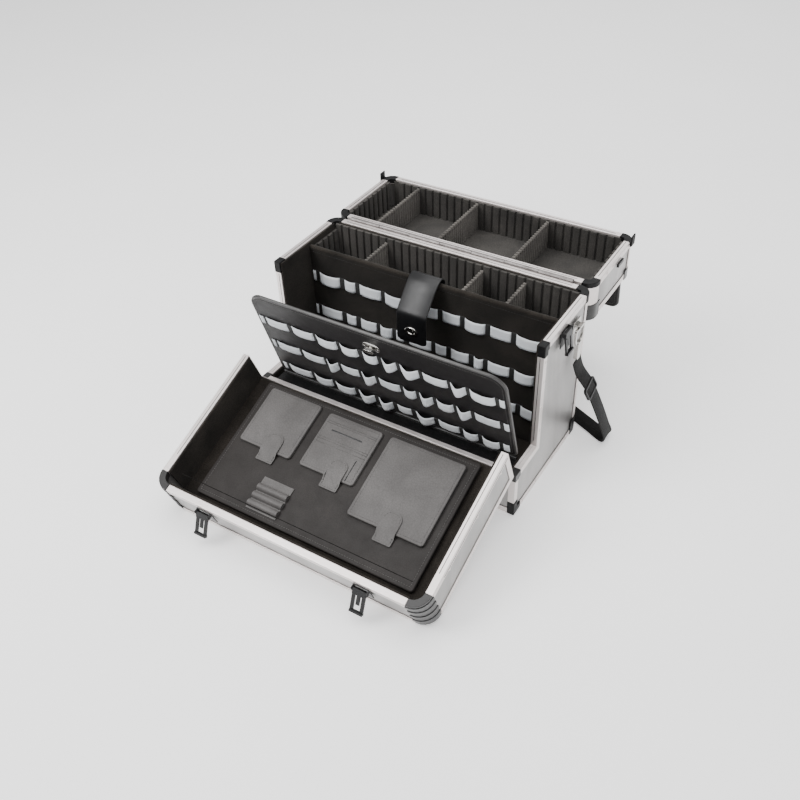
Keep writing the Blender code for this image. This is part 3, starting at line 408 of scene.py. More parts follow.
def tube(form, points, radius, closed=False):
    """Round tube along points."""
    rings = []
    for i, point in enumerate(points):
        before = points[i - 1] if closed or i else point
        after = points[(i + 1) % len(points)] if closed or i + 1 < len(points) else point
        along = (after - before).normalized()
        side = along.cross(Z if abs(along.z) < 0.9 else X).normalized()
        rings.append(circle(point, radius, side, side.cross(along), 8))
    bridge(form, rings + rings[:closed], cap_ends=not closed)
    if closed:
        bmesh.ops.remove_doubles(form, verts=form.verts, dist=1e-6)


RIVET = ((2.1, 0.0), (2.1, 0.25), (1.75, 0.75), (1.0, 1.05), (0.3, 1.12))


def rivet(form, centre, axis, size, sides=14):
    """Turned head of a rivet or screw."""
    side = axis.cross(Z if abs(axis.z) < 0.9 else X).normalized()
    bridge(form, [circle(centre + axis * (h * MM * size), r * MM * size, side, axis.cross(side), sides)
                  for r, h in RIVET])


def rivets(name, places, axis, look, body, slot, size=1.0):
    form = bmesh.new()
    for place in places:
        rivet(form, Vector(place), axis, size)
    add(name, form, look, body, slot)


def stitches(form, line, out, pitch=0.0042, length=0.0029, radius=0.00035):
    """Row of thread stitches along a line of points, on the surface that faces out."""
    spent = pitch / 2
    for start, end in zip(line, line[1:]):
        run = (end - start).length
        along = (end - start).normalized()
        side = along.cross(out).normalized()
        while spent < run:
            middle = start + along * spent
            bridge(form, [circle(middle + along * share * length, radius * size, side, out, 6)
                          for share, size in ((-0.5, 0.35), (-0.3, 1.0), (0.3, 1.0), (0.5, 0.35))])
            spent += pitch
        spent -= run


def edge_seam(form, rim, out):
    """Stitches all the way round a rim line."""
    stitches(form, rim + rim[:1], out)


def prism(form, outline, place, low, high):
    bridge(form, [[place @ Vector((a, b, h)) for a, b in outline] for h in (low, high)])

# ---- hard shell
# Each row is a look, the width and segments of its rounded edges, and the nodes
HARD = (
    ("rail", 0.0011, 3, "body_frame"),
    ("rail", 0.0006, 3, "door_side_frame door_end_angle"),
    ("rail", 0.0011, 3, "door_end_rail lid_frame"),
    ("hinge", 0.0002, 2, "door_hinge_fixed_leaf door_hinge_moving_leaf"),
    ("bright", 0.0003, 2, "door_hinge_pin"),
    ("hinge", 0.0002, 2, "lid_hinge_fixed_leaf lid_hinge_moving_leaf"),
    ("bright", 0.0003, 2, "lid_hinge_pin"),
    ("panel", 0.0004, 2, "base_panel front_panel left_panel right_panel rear_panel door_shell lid_shell"),
)
HARD_PAIRS = (
    ("guard", 0.001, 3, "door_guard"),
    ("bright", 0.0005, 3, "ring_plate"),
    ("bright", 0.0011, 3, "strap_hook"),
    ("black", 0.0004, 3, "door_clasp_base"),
    ("black", 0.0006, 3, "door_clasp"),
    ("black", 0.0004, 3, "side_clasp_base"),
    ("black", 0.0006, 3, "side_clasp lid_strike"),
)
HARD_FITTINGS = (
    ("black", 0.0006, 3, "handle_mount"),
    # The board's hinge bracket takes the black look, painted shade that hides it in the dark at the board's foot
    ("black", 0.0005, 3, "board_hinge_bracket"),
    ("black", 0.003, 4, "carry_handle"),
    ("bright", 0.0008, 3, "turn_lock_knob"),
    ("board", 0.0009, 3, "lid_flap"),
    ("lining", 0.0006, 2, "body_lining door_lining"),
)


def hard_pieces():
    for rows, end in ((HARD, ""), (HARD_PAIRS, "_left"), (HARD_PAIRS, "_right"), (HARD_FITTINGS, "")):
        for look, width, segments, nodes in rows:
            for node in nodes.split():
                refined(node + end, look, width, segments)


# ---- corner caps
BODY_LOW, BODY_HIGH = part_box("body_frame")
LID_LOW, LID_HIGH = shut_box("lid_frame")
DOOR_LOW, DOOR_HIGH = shut_box("door_side_frame")
RAIL = 0.0105
WALL = BODY_LOW.y + 0.07   # front of the body's tall rear half
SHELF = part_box("front_panel")[1].z + RAIL
POST_RADIUS = 0.018
PROUD = 0.0009
SEAM_PROUD = 0.0005   # how far a cap stands out into the seam between two parts of the case


def quarter_outline(centre, outer, inner, start, leg):
    """Quarter of a ring with straight legs on both ends."""
    turns = [math.radians(start + 90 * i / 8) for i in range(9)]
    rays = [Vector((math.cos(t), math.sin(t))) for t in turns]
    outline = []
    for radius, order in ((outer, 1), (inner, -1)):
        arc = [Vector(centre) + radius * ray for ray in rays]
        outline += [arc[0] - rays[-1] * leg, *arc, arc[-1] - rays[0] * leg][::order]
    return [tuple(point) for point in outline]


def round_cap(name, corner, sides, levels, leg, body, look="cap"):
    """Moulded cap round an upright rounded corner. Levels are (low, high, wall) in height."""
    centre = [at - way * POST_RADIUS for at, way in zip(corner, sides)]
    start = {(1, 1): 0, (-1, 1): 90, (-1, -1): 180, (1, -1): 270}[sides]
    form = bmesh.new()
    for low, high, wall in levels:
        outline = quarter_outline(centre, POST_RADIUS + PROUD, POST_RADIUS - wall, start, leg)
        prism(form, outline, STILL, low, high)
    add(name, form, look, body, "corner_guard", smooth=30, bevel=0.0008)


def corner_caps():
    rim = BODY_HIGH.z
    for name, side in SIDES:
        corner = (side * BODY_HIGH.x, BODY_HIGH.y)
        round_cap(f"body_rim_cap_{name}", corner, (side, 1),
                  [(rim - RAIL - 0.0025, rim + SEAM_PROUD, RAIL + PROUD)], 0.004, "case_body")
        round_cap(f"body_foot_cap_{name}", corner, (side, 1), [(0.0, 0.03, 0.0006)], 0.012, "case_body")
        for end, way, y, tall in (("near", 1, LID_HIGH.y, 0.026), ("far", -1, LID_LOW.y + 0.0006, 0.016)):
            corner = (side * LID_HIGH.x, y)
            round_cap(f"lid_rim_cap_{end}_{name}", corner, (side, way),
                      [(LID_LOW.z - SEAM_PROUD, LID_LOW.z + 0.008, RAIL + PROUD)], 0.003, "lid")
            round_cap(f"lid_top_cap_{end}_{name}", corner, (side, way),
                      [(LID_HIGH.z - tall, LID_HIGH.z, 0.0006),
                       (LID_HIGH.z, LID_HIGH.z + PROUD, 0.012)], 0.01, "lid", "guard")


def lid_lugs():
    """Lugs on the lid's free corners, which reach past the rim and centre the lid when it shuts."""
    root, inner, outer = LID_HIGH.x - 0.002, LID_HIGH.x + 0.0013, LID_HIGH.x + 0.0038
    rim, tip = LID_LOW.z, LID_LOW.z - 0.0115
    outline = [(root, rim + 0.009), (outer, rim + 0.006), (outer, tip + 0.0014), (outer - 0.0008, tip),
               (inner, tip), (inner, rim - 0.0002), (root, rim - 0.0002)]
    for name, side in SIDES:
        form = bmesh.new()
        prism(form, outline, axes((0, 0, 0), X * side, Z, Y), LID_LOW.y + 0.0105, LID_LOW.y + 0.0235)
        add(f"lid_lug_{name}", form, "cap", "lid", "corner_guard", smooth=30, bevel=0.0006)


def leg_caps():
    """Angle caps where two straight profiles meet: each is (corner y and z, ways inward, leg lengths)."""
    kinds = {"rim": (WALL, BODY_HIGH.z, 1, -1, 0.015, 0.019),
             "shelf": (BODY_LOW.y, SHELF, 1, -1, 0.016, 0.013),
             "foot": (BODY_LOW.y, 0.0, 1, 1, 0.022, 0.025)}
    thick = RAIL + PROUD
    for kind, (y, z, way_y, way_z, long_y, long_z) in kinds.items():
        y0 = y - way_y * SEAM_PROUD
        z0 = 0.0 if kind == "foot" else z - way_z * SEAM_PROUD
        outline = [(y0, z0), (y + way_y * long_y, z0), (y + way_y * long_y, z + way_z * thick),
                   (y + way_y * thick, z + way_z * thick), (y + way_y * thick, z + way_z * long_z),
                   (y0, z + way_z * long_z)]
        for name, side in SIDES:
            faces = (side * (BODY_HIGH.x + PROUD), side * (BODY_HIGH.x - RAIL - 0.0004))
            form = bmesh.new()
            prism(form, outline, axes((0, 0, 0), Y, Z, X), min(faces), max(faces))
            add(f"body_{kind}_cap_{name}", form, "guard" if kind == "shelf" else "cap", "case_body",
                "corner_guard", smooth=30, bevel=0.0012)


def flap_trim():
    """Piped edge and seams of the flap that hangs from the lid's free edge."""
    hinge = Vector(JOINTS["lid_flap"]["pos_m"])
    points = [vertex.co for vertex in frame["nodes"]["lid_flap"].data.vertices]
    foot = min(point.z for point in points)
    lowest = [point for point in points if point.z < foot + 0.002]
    down = sum(lowest, Vector()) / len(lowest) - hinge
    down.x = 0
    half, length = max(point.x for point in points), down.length
    down.normalize()
    out = X.cross(down)
    span = (axes(hinge, X, down, out), (-half, half), (0.002, length), (0.002, 0.002, 0.013, 0.013), 8)
    edge = bmesh.new()
    tube(edge, rim_line(*span, 0.0006), 0.0021, closed=True)
    add("lid_flap_piping", edge, "piping", "flap", "black_leatherette")
    seam = bmesh.new()
    for side in (-1, 1):
        edge_seam(seam, rim_line(*span, 0.006, side * 0.0016), side * out)
    add("lid_flap_seam", seam, "thread", "flap", "black_leatherette")


def hinge_screws():
    rows = (("door", "front_door", -Y, -0.0081, 0.0076), ("lid", "lid", Y, -0.0071, 0.0071))
    for name, body, out, below, above in rows:
        axis = Vector(JOINTS[body]["pos_m"])
        face = axis.y - out.y * 0.002
        for part, shift, rides in (("fixed", below, "case_body"), ("moving", above, body)):
            places = [(-0.17 + 0.068 * i, face, axis.z + shift) for i in range(6)]
            rivets(f"{name}_hinge_{part}_screws", places, out, "bright", rides, "bright_metal", 0.8)


def guard_ridges():
    """Raised bands round the moulded guards on the door's far corners."""
    radius = 0.026
    for name, side in SIDES:
        low, high = shut_box(f"door_guard_{name}")
        centre = ((high.x if side > 0 else low.x) - side * radius, high.z - radius)
        outline = quarter_outline(centre, radius + 0.0009, radius - 0.0008, 0 if side > 0 else 90, 0.002)
        form = bmesh.new()
        for share in (0.18, 0.42, 0.66, 0.88):
            middle = low.y + (high.y - low.y) * share
            prism(form, outline, axes((0, 0, 0), X, Z, -Y), -middle - 0.0036, -middle + 0.0036)
        add(f"door_guard_ridges_{name}", form, "guard", "front_door", "corner_guard", smooth=30,
            bevel=0.0008)


# Thin dark tubes laid in as painted shade
def shade_lines(name, body, ends):
    form = bmesh.new()
    for start, end in ends:
        tube(form, [Vector(start), Vector(end)], 0.00055)
    add(name, form, "groove", body, "aluminium_profile")


def rail_seam_shade():
    """Dark line of painted shade where the two lips of each rail meet, on the rims."""
    inset, sunk = 0.0062, 0.0002
    x, z, face = BODY_HIGH.x - inset, BODY_HIGH.z - sunk, WALL + sunk
    rear, low = BODY_HIGH.y - inset, SHELF - sunk
    ends = []
    for at in (-x, x):
        ends += [((at, WALL + 0.017, z), (at, BODY_HIGH.y - 0.028, z)),
                 ((at, face, BODY_HIGH.z - 0.021), (at, face, 0.092)),
                 ((at, BODY_LOW.y + 0.018, low), (at, WALL - 0.001, low))]
    shade_lines("body_rail_seam_shade", "case_body", ends + [((-x + 0.024, rear, z), (x - 0.024, rear, z))])

    x, z, near, far = LID_HIGH.x - inset, LID_LOW.z + sunk, LID_HIGH.y, LID_LOW.y
    ends = [((at, far + 0.024, z), (at, near - 0.028, z)) for at in (-x, x)]
    ends += [((-x + 0.024, y, z), (x - 0.024, y, z)) for y in (near - inset, far + inset)]
    shade_lines("lid_rail_seam_shade", "lid", ends)

    x, y, z = DOOR_HIGH.x - inset, DOOR_HIGH.y - sunk, DOOR_HIGH.z - inset
    lines = [(side * at, out) for side in (-1, 1)
             for at, out in ((x, y), (DOOR_HIGH.x - sunk, DOOR_HIGH.y - 0.0065))]
    ends = [((*line, DOOR_LOW.z + 0.004), (*line, DOOR_HIGH.z - 0.03)) for line in lines]
    shade_lines("door_rail_seam_shade", "front_door", ends + [((-x + 0.026, y, z), (x - 0.026, y, z))])


def panel_rivets():
    body = [(WALL + 0.0055, z) for z in (0.11, 0.155, 0.2, 0.235)]
    body += [(y, 0.0052) for y in (-0.085, -0.04, 0.02, 0.07)]
    body += [(BODY_HIGH.y - 0.024, z) for z in (0.06, 0.12, 0.18)]
    lid = [(y, LID_LOW.z + 0.0052) for y in (-0.022, 0.046, 0.068, 0.092)]
    door = [(DOOR_HIGH.y - 0.01, z) for z in (0.11, 0.18, 0.26)]
    for name, side in SIDES:
        for part, rides, places in (("body", "case_body", body), ("lid", "lid", lid),
                                    ("door", "front_door", door)):
            rivets(f"{part}_rivets_{name}", [(side * BODY_HIGH.x, *place) for place in places], X * side,
                   "rail", rides, "aluminium_profile")


# ---- slot liners
RIB_PITCH = 0.0145
RIB_BASE = 0.0015
RIB_HEIGHT = 0.003


def rib_line(low, high, base, toward):
    """Cross-section of a slotted liner: flat ridges with rounded shoulders and a slot at each pitch.

    Each point has its tone, 0 on a ridge, which is painted light, and 1 in a slot, which is painted shade.
    """
    shoulder, half = 0.0009, RIB_PITCH / 2 - 0.0021
    crest, floor = base + toward * (RIB_BASE + RIB_HEIGHT), base + toward * RIB_BASE

    def rise(edge, way):
        return [(edge + way * shoulder * (1 - math.cos(t)), crest - toward * shoulder * (1 - math.sin(t)))
                for t in (math.pi / 2 * k / 3 for k in range(4))]

    line = [((low, floor), 1)]
    index = math.ceil((low + half * 0.6) / RIB_PITCH - 0.5)
    while (index + 0.5) * RIB_PITCH + half * 0.6 < high:
        middle = (index + 0.5) * RIB_PITCH
        start, end = max(middle - half, low + 0.0006), min(middle + half, high - 0.0006)
        up, down = rise(start, 1), rise(end, -1)[::-1]
        line += [((start, floor), 1), (up[0], 1)] + [(point, 0) for point in up[1:] + down]
        line.append(((end, floor), 1))
        index += 1
    return line + [((high, floor), 1)]


def rib_wall(form, low, high, base, toward, heights, flip=False):
    """Adds one ribbed wall. Ridges take the first material, painted light, and slots the second, painted shade."""
    line = rib_line(low, high, base, toward)
    outline = [point for point, tone in line] + [(high, base), (low, base)]
    if flip:
        outline = [(b, a) for a, b in outline]
    bridge(form, [[(a, b, z) for a, b in outline] for z in heights],
           tones=[tone for point, tone in line[1:]] + [1, 1, 1])


def divider(node):
    """Slotted divider: a core with rounded ribs on both faces and a beaded top edge."""
    low, high = shut_box(node)
    middle = (low.x + high.x) / 2
    core, ridge = 0.0011, 0.0016
    count = round((high.y - low.y) / (RIB_PITCH * 0.5))
    pitch = (high.y - low.y) / count
    form = bmesh.new()
    line = []
    steps = 8
    for i in range(count * steps + 1):
        y = low.y + pitch * i / steps
        wave = max(0.0, math.cos(math.tau * (i / steps - 0.5))) ** 0.6
        line.append((y, core + ridge * wave))
    outline = [(middle + width, y) for y, width in line] + [(middle - width, y) for y, width in line[::-1]]
    upturned = BODY_OF[node] == "lid"
    top, bottom = (low.z, high.z) if upturned else (high.z, low.z)
    inward = 1 if upturned else -1
    bead = 0.0024
    levels = [(bottom, 1.0), (top + inward * (bead + 0.001), 1.0), (top + inward * bead, 0.8)]
    rings = [[Vector((middle + (x - middle) * grow, y, z)) for x, y in outline] for z, grow in levels]
    bridge(form, rings)
    # Bead slabs take the edge look, a painted highlight along the top
    half = (core + ridge, pitch * 0.27)
    for i in range(count):
        place = axes((middle, low.y + pitch * (i + 0.5), top), X, Y, Z * -inward)
        slab(form, place, (-half[0], half[0]), (-half[1], half[1]), (0.0009,) * 4,
             [(0.0, -2 * bead), (0.0, -0.0007), (0.0007, 0.0)], 2, 1)
    stand_in(node, form, "divider edge", smooth=50)


def slot_liners():
    low, high = shut_box("rear_slot_liner")
    heights = (low.z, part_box("partition_board")[1].z - 0.006)
    form = bmesh.new()
    rib_wall(form, low.x, high.x, high.y, -1, (low.z, high.z))
    rib_wall(form, low.x, high.x, low.y, 1, heights)
    for side in (-1, 1):
        rib_wall(form, low.y + 0.0015, high.y - 0.0015, side * high.x, -side, heights, True)
    # ridges in the lighter flock as painted light, slots in the dark flock as painted shade
    stand_in("rear_slot_liner", form, "ridge groove", smooth=35)

    low, high = shut_box("lid_tray_insert")
    form = bmesh.new()
    thick = 0.0025
    heights = (low.z, high.z - thick / 2)
    corner_x = LID_HIGH.x - POST_RADIUS - 0.0003
    ends = (LID_LOW.y + POST_RADIUS, LID_HIGH.y - POST_RADIUS)
    for base, toward in ((low.y, 1), (high.y, -1)):
        rib_wall(form, -corner_x, corner_x, base, toward, heights)
    for side in (-1, 1):
        rib_wall(form, *ends, side * high.x, -side, heights, True)
    slab(form, STILL, (low.x, high.x), (low.y, high.y), (POST_RADIUS - RAIL - 0.0003,) * 4,
         [(0.0, high.z - thick), (0.0, high.z)], material=2)
    # the same painted light and painted shade on the lid tray's ribs
    stand_in("lid_tray_insert", form, "ridge groove mat", smooth=35)
    for number in (1, 2, 3):
        divider(f"rear_divider_{number}")
        divider(f"lid_divider_{number}")


# ---- partition and tool board
def elastic_row(name, bands, z, tall, face, body):
    """Elastic sewn down between bands, with black strips of painted shade over the sewn pinches. A band is (start,
    end, how far it stands out), in millimetres.
    """
    rows, steps = 6, 12
    form = bmesh.new()
    for start, end, reach in bands:
        grid = []
        deep = reach > LOOSE
        droop = (0.34 if deep else 0.2) * reach
        for i in range(steps + 1):
            t = i / steps
            bow = math.sin(math.pi * t) ** (1.25 if deep else 0.55)
            column = []
            for k in range(rows):
                share = k / (rows - 1)
                wave = 0.25 * math.sin(7 * t + 2 * share + start) * bow
                out = 0.5 + bow * reach * (1.0 - 0.22 * share) + 0.12 * math.sin(19 * t + start)
                height = z / MM + tall / MM * (share - 0.5) - droop * bow * (1.15 - 0.5 * share) + wave
                place = Vector((start + (end - start) * t, face / MM - out, height))
                column.append(form.verts.new(place * MM))
            grid.append(column)
        for first, second in zip(grid, grid[1:]):
            for k in range(rows - 1):
                form.faces.new((first[k], second[k], second[k + 1], first[k + 1]))
    piece = add(name, form, "elastic", body, "elastic", smooth=70)
    cloth_depth = piece.modifiers.new("thickness", "SOLIDIFY")
    cloth_depth.thickness, cloth_depth.offset = 0.0008, 0.0

    # Dark strips and stitches over the sewn pinches: their black is painted shade in the pinches
    pinch_shade = bmesh.new()
    for start, end in [(a[1], b[0]) for a, b in zip(bands, bands[1:])]:
        middle, half = (start + end) / 2 * MM, ((end - start) / 2 + 0.4) * MM
        place = axes((middle, face, z), X, Z, -Y)
        high = tall / 2 + 0.0007
        slab(pinch_shade, place, (-half, half), (-high, high), (0.0008,) * 4,
             [(0.0, 0.0), (0.0, 0.0009), (0.0005, 0.0013)], 2)
        for side in (-1, 1):
            ends = (-high + 0.001, high - 0.001)
            line = [place @ Vector((side * (half - 0.0011), b, 0.0013)) for b in ends]
            stitches(pinch_shade, line, -Y, 0.003, 0.0022, 0.00025)
    add(name + "_pinch_shade", pinch_shade, "dark_thread", body, "elastic")
    return piece


FLAT, LOOSE, DEEP = 2.2, 5.5, 8.2
PARTITION_BANDS = {
    0.204: [(-214, -208, 1.2), (-201, -161, LOOSE), (-152, -131, 3.0), (-123, -82, 3.0), (-75, -35, LOOSE),
            (-28, -10, FLAT), (-3, 21, 3.0), (29, 60, FLAT), (68, 103, LOOSE), (111, 146, FLAT),
            (154, 194, LOOSE), (200, 213, FLAT)],
    0.138: [(-215, -210, 1.2), (-204, -162, FLAT), (-153, -134, FLAT), (-125, -94, 3.0), (-87, -64, LOOSE),
            (-57, -42, FLAT), (-33, 9, 3.0), (16, 36, FLAT), (44, 76, 3.0), (85, 101, LOOSE),
            (109, 146, 3.0), (154, 187, LOOSE), (195, 213, FLAT)],
    0.072: [(-214, -206, 1.2), (-198, -160, 3.0), (-151, -128, FLAT), (-120, -86, LOOSE), (-78, -60, FLAT),
            (-52, -20, 3.0), (-12, 12, FLAT), (20, 56, LOOSE), (64, 86, FLAT), (94, 132, 3.0),
            (141, 160, FLAT), (168, 208, LOOSE)],
}
BOARD_BANDS = {
    0.134: [(-209, -201, 1.0), (-197, -156, FLAT), (-148, -108, 3.0), (-103, -66, LOOSE), (-60, -29, LOOSE),
            (-20, 5, LOOSE), (12, 37, DEEP), (43, 74, DEEP), (80, 120, 3.0), (125, 149, DEEP),
            (155, 194, LOOSE), (200, 208, 1.0)],
    0.076: [(-206, -200, 1.0), (-196, -152, FLAT), (-147, -106, 3.0), (-101, -79, DEEP), (-74, -42, FLAT),
            (-37, -12, DEEP), (-6, 31, 3.0), (37, 58, LOOSE), (64, 87, DEEP), (93, 121, LOOSE),
            (126, 149, DEEP), (155, 195, FLAT), (201, 209, 1.0)],
    0.018: [(-205, -198, 1.0), (-192, -148, 3.0), (-142, -107, LOOSE), (-101, -64, LOOSE), (-57, -27, DEEP),
            (-20, 6, DEEP), (14, 39, FLAT), (47, 79, DEEP), (86, 122, 3.0), (128, 153, LOOSE),
            (160, 188, LOOSE), (194, 204, 1.0)],
}


def partition():
    low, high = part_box("partition_board")
    form = bmesh.new()
    middle = (low.y + high.y) / 2
    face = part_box("partition_loops")[1].y + 0.0003
    back = 2 * middle - face
    bead = high.z - 0.0042
    steps = 90
    rings = []
    for i in range(steps + 1):
        x = low.x + (high.x - low.x) * i / steps
        ripple = 0.0007 * noise.noise(Vector((x * 26, 0.3, 0.7)))
        ripple += 0.0003 * noise.noise(Vector((x * 90, 2, 1)))
        top = bead + ripple
        profile = [(face, low.z), (face, top - 0.0034)]
        for k in range(9):
            turn = math.radians(205 - 230 * k / 8)
            profile.append((middle + 0.0042 * math.cos(turn), top + 0.0042 * math.sin(turn)))
        profile += [(back, top - 0.0034), (back, low.z)]
        rings.append([Vector((x, y, z)) for y, z in profile])
    bridge(form, rings)
    # The top roll takes the lighter ridge flock: a painted highlight along the top
    for patch in form.faces:
        patch.material_index = 1 if all(v.co.z > bead - 0.0012 for v in patch.verts) else 0
    stand_in("partition_board", form, "lining ridge")

    seam = bmesh.new()
    line = [Vector((x, face - 0.0002, bead - 0.0058)) for x in (low.x + 0.004, high.x - 0.004)]
    stitches(seam, line, -Y, 0.0046, 0.0032)
    add("partition_seam", seam, "dark_thread", "case_body", "lining_fabric")

    for number, (z, bands) in enumerate(PARTITION_BANDS.items(), 1):
        row = elastic_row(f"partition_elastic_{number}", bands, z, 0.0185, face, "case_body")
        if number == 1:
            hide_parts("partition_loops")


def tool_board():
    low, high = shut_box("tool_board")
    half = (high.y - low.y) / 2
    span = (axes((0, (low.y + high.y) / 2, 0), X, Z, -Y), (low.x, high.x), (low.z, high.z),
            (0.01, 0.01, 0.024, 0.024))
    form = bmesh.new()
    slab(form, *span, [(0.0022, -half), (0.0008, -half + 0.0002), (0.0, -half + 0.001),
                       (0.0, half - 0.001), (0.0008, half - 0.0002), (0.0022, half)], 8)
    stand_in("tool_board", form, "board")

    edge = bmesh.new()
    tube(edge, rim_line(*span, 8, 0.0006), 0.0026, closed=True)
    add("tool_board_piping", edge, "piping", "board", "black_leatherette")
    seam = bmesh.new()
    for side in (1, -1):
        edge_seam(seam, rim_line(*span, 8, 0.0058, side * (half + 0.0001)), -side * Y)
    add("tool_board_seam", seam, "thread", "board", "black_leatherette")

    for number, (reach, bands) in enumerate(BOARD_BANDS.items(), 1):
        row = elastic_row(f"board_elastic_{number}", bands, low.z + reach, 0.0165, low.y - 0.0003, "board")
        if number == 1:
            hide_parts("tool_board_loops")

    plate = bmesh.new()
    knob_low, knob_high = shut_box("turn_lock_knob")
    lock = axes((0, low.y - 0.0002, (knob_low.z + knob_high.z) / 2), X, Z, -Y)
    slab(plate, lock, (-0.0145, 0.0145), (-0.0085, 0.0085), (0.0082,) * 4,
         [(0.0, 0.0), (0.0, 0.0007), (0.0006, 0.0012), (0.004, 0.0014), (0.0052, 0.002)], 7)
    for x in (-0.0108, 0.0108):
        rivet(plate, lock @ Vector((x, 0, 0.0012)), -Y, 0.7, 10)
    add("turn_lock_plate", plate, "bright", "board", "bright_metal")


def smooth_line(points, spacing):
    """Evenly spaced points of a centripetal curve through the given points."""
    fine = []
    ends = [points[0] * 2 - points[1]] + points + [points[-1] * 2 - points[-2]]
    for span in zip(ends, ends[1:], ends[2:], ends[3:]):
        times = [0.0]
        for start, end in zip(span, span[1:]):
            times.append(times[-1] + math.sqrt((end - start).length))
        for i in range(24):
            t = times[1] + (times[2] - times[1]) * i / 24
            row = span
            for pairs in (((0, 1), (1, 2), (2, 3)), ((0, 2), (1, 3)), ((1, 2),)):
                row = [p.lerp(q, (t - times[a]) / (times[b] - times[a]))
                       for p, q, (a, b) in zip(row, row[1:], pairs)]
            fine += row
    fine.append(points[-1].copy())
    length = sum((b - a).length for a, b in zip(fine, fine[1:]))
    count = round(length / spacing)
    even, walked, index = [fine[0]], 0.0, 0
    for i in range(1, count):
        target = length * i / count
        while walked + (fine[index + 1] - fine[index]).length < target:
            walked += (fine[index + 1] - fine[index]).length
            index += 1
        piece = fine[index + 1] - fine[index]
        even.append(fine[index] + piece * ((target - walked) / piece.length))
    return even + [fine[-1]]


def ribbon(form, line, wide, thick, across, edge=3, taper=None):
    """Flat strap along a line with rounded edges. Across gives the direction of its width."""
    rings = []
    for i, place in enumerate(line):
        along = (line[min(i + 1, len(line) - 1)] - line[max(i - 1, 0)]).normalized()
        side = across - along * across.dot(along)
        side.normalize()
        out = along.cross(side).normalized()
        half = wide / 2 * (taper(i / (len(line) - 1)) if taper else 1.0)
        ring = []
        for way in (1, -1):
            for k in range(edge + 1):
                turn = math.radians(180 * k / edge - 90 * way)
                ring.append(place + side * (way * (half - thick / 2) + thick / 2 * math.cos(turn))
                            + out * thick / 2 * math.sin(turn))
        rings.append(ring)
    bridge(form, rings)


CLOSING_LINE = [(0.04, 0.2485), (0.04, 0.256), (0.0375, 0.261), (0.031, 0.264), (0.022, 0.2615),
                (0.013, 0.2545), (0.0000, 0.2405), (-0.011, 0.2282), (-0.0158, 0.2226), (-0.0172, 0.22),
                (-0.0176, 0.216), (-0.0177, 0.192), (-0.0177, 0.1715)]


def closing_strap():
    spacing, round_end = 0.0022, 0.006
    line = smooth_line([Vector((0, y, z)) for y, z in CLOSING_LINE], spacing)

    def taper(share):
        left = min((1 - share) * len(line) * spacing, round_end)
        return 0.8 + 0.2 * math.sqrt(1 - ((round_end - left) / round_end) ** 2)

    form = bmesh.new()
    ribbon(form, line, 0.052, 0.0026, X, edge=4, taper=taper)
    stand_in("closing_strap", form, "strap", smooth=50)
    seam = bmesh.new()
    for x in (-0.0225, 0.0225):
        for i in range(2, len(line) - 7):
            along = (line[i + 1] - line[i]).normalized()
            out = along.cross(X).normalized()
            if i % 2:
                start = line[i] + X * x - out * 0.0014
                stitches(seam, [start, start + along * 0.0034], -out, 0.0034, 0.0027)
    add("closing_strap_seam", seam, "dark_thread", "case_body", "strap_leather")

    eyelet = bmesh.new()
    centre = axes((0, CLOSING_LINE[-1][0] - 0.0013, 0.1925), X, Z, -Y)
    outer = [(0.0112 * math.cos(t), 0.0078 * math.sin(t)) for t in (math.tau * k / 28 for k in range(28))]
    rim = ((1.0, 0.0), (1.0, 0.0009), (0.93, 0.0017), (0.76, 0.002), (0.6, 0.0014), (0.52, 0.0))
    bridge(eyelet, [[centre @ Vector((a * grow, b * (grow - (1 - grow) * 0.2), height)) for a, b in outer]
                    for grow, height in rim], cap_ends=False)
    add("strap_eyelet", eyelet, "bright", "case_body", "bright_metal")
    # Dark disc in the eyelet's hole: painted shade
    hole = bmesh.new()
    bridge(hole, [[centre @ Vector((a * grow, b * grow, height)) for a, b in outer]
                  for grow, height in ((0.6, 0.0004), (0.3, 0.0003))])
    add("strap_eyelet_hole_shade", hole, "groove", "case_body", "strap_leather")


# ---- organizer
def organizer():
    low, high = shut_box("organizer_board")
    tall = high.y - low.y
    span = (axes((0, low.y, 0), X, Z, Y), (low.x, high.x), (low.z, high.z), (0.005,) * 4)
    form = bmesh.new()
    slab(form, *span, eased(tall, 0.0022), 5)
    stand_in("organizer_board", form, "organizer")
    seam = bmesh.new()
    edge_seam(seam, rim_line(*span, 5, 0.0062, tall + 0.0001), Y)
    add("organizer_seam", seam, "thread", "front_door", "organizer_leatherette")

    for node in POCKETS:
        pocket(node, high.y)
    pen_loops()


def pocket_trim(name, form, look="thread", smooth=40):
    add(name, form, look, "front_door", "pocket_leatherette", smooth=smooth)


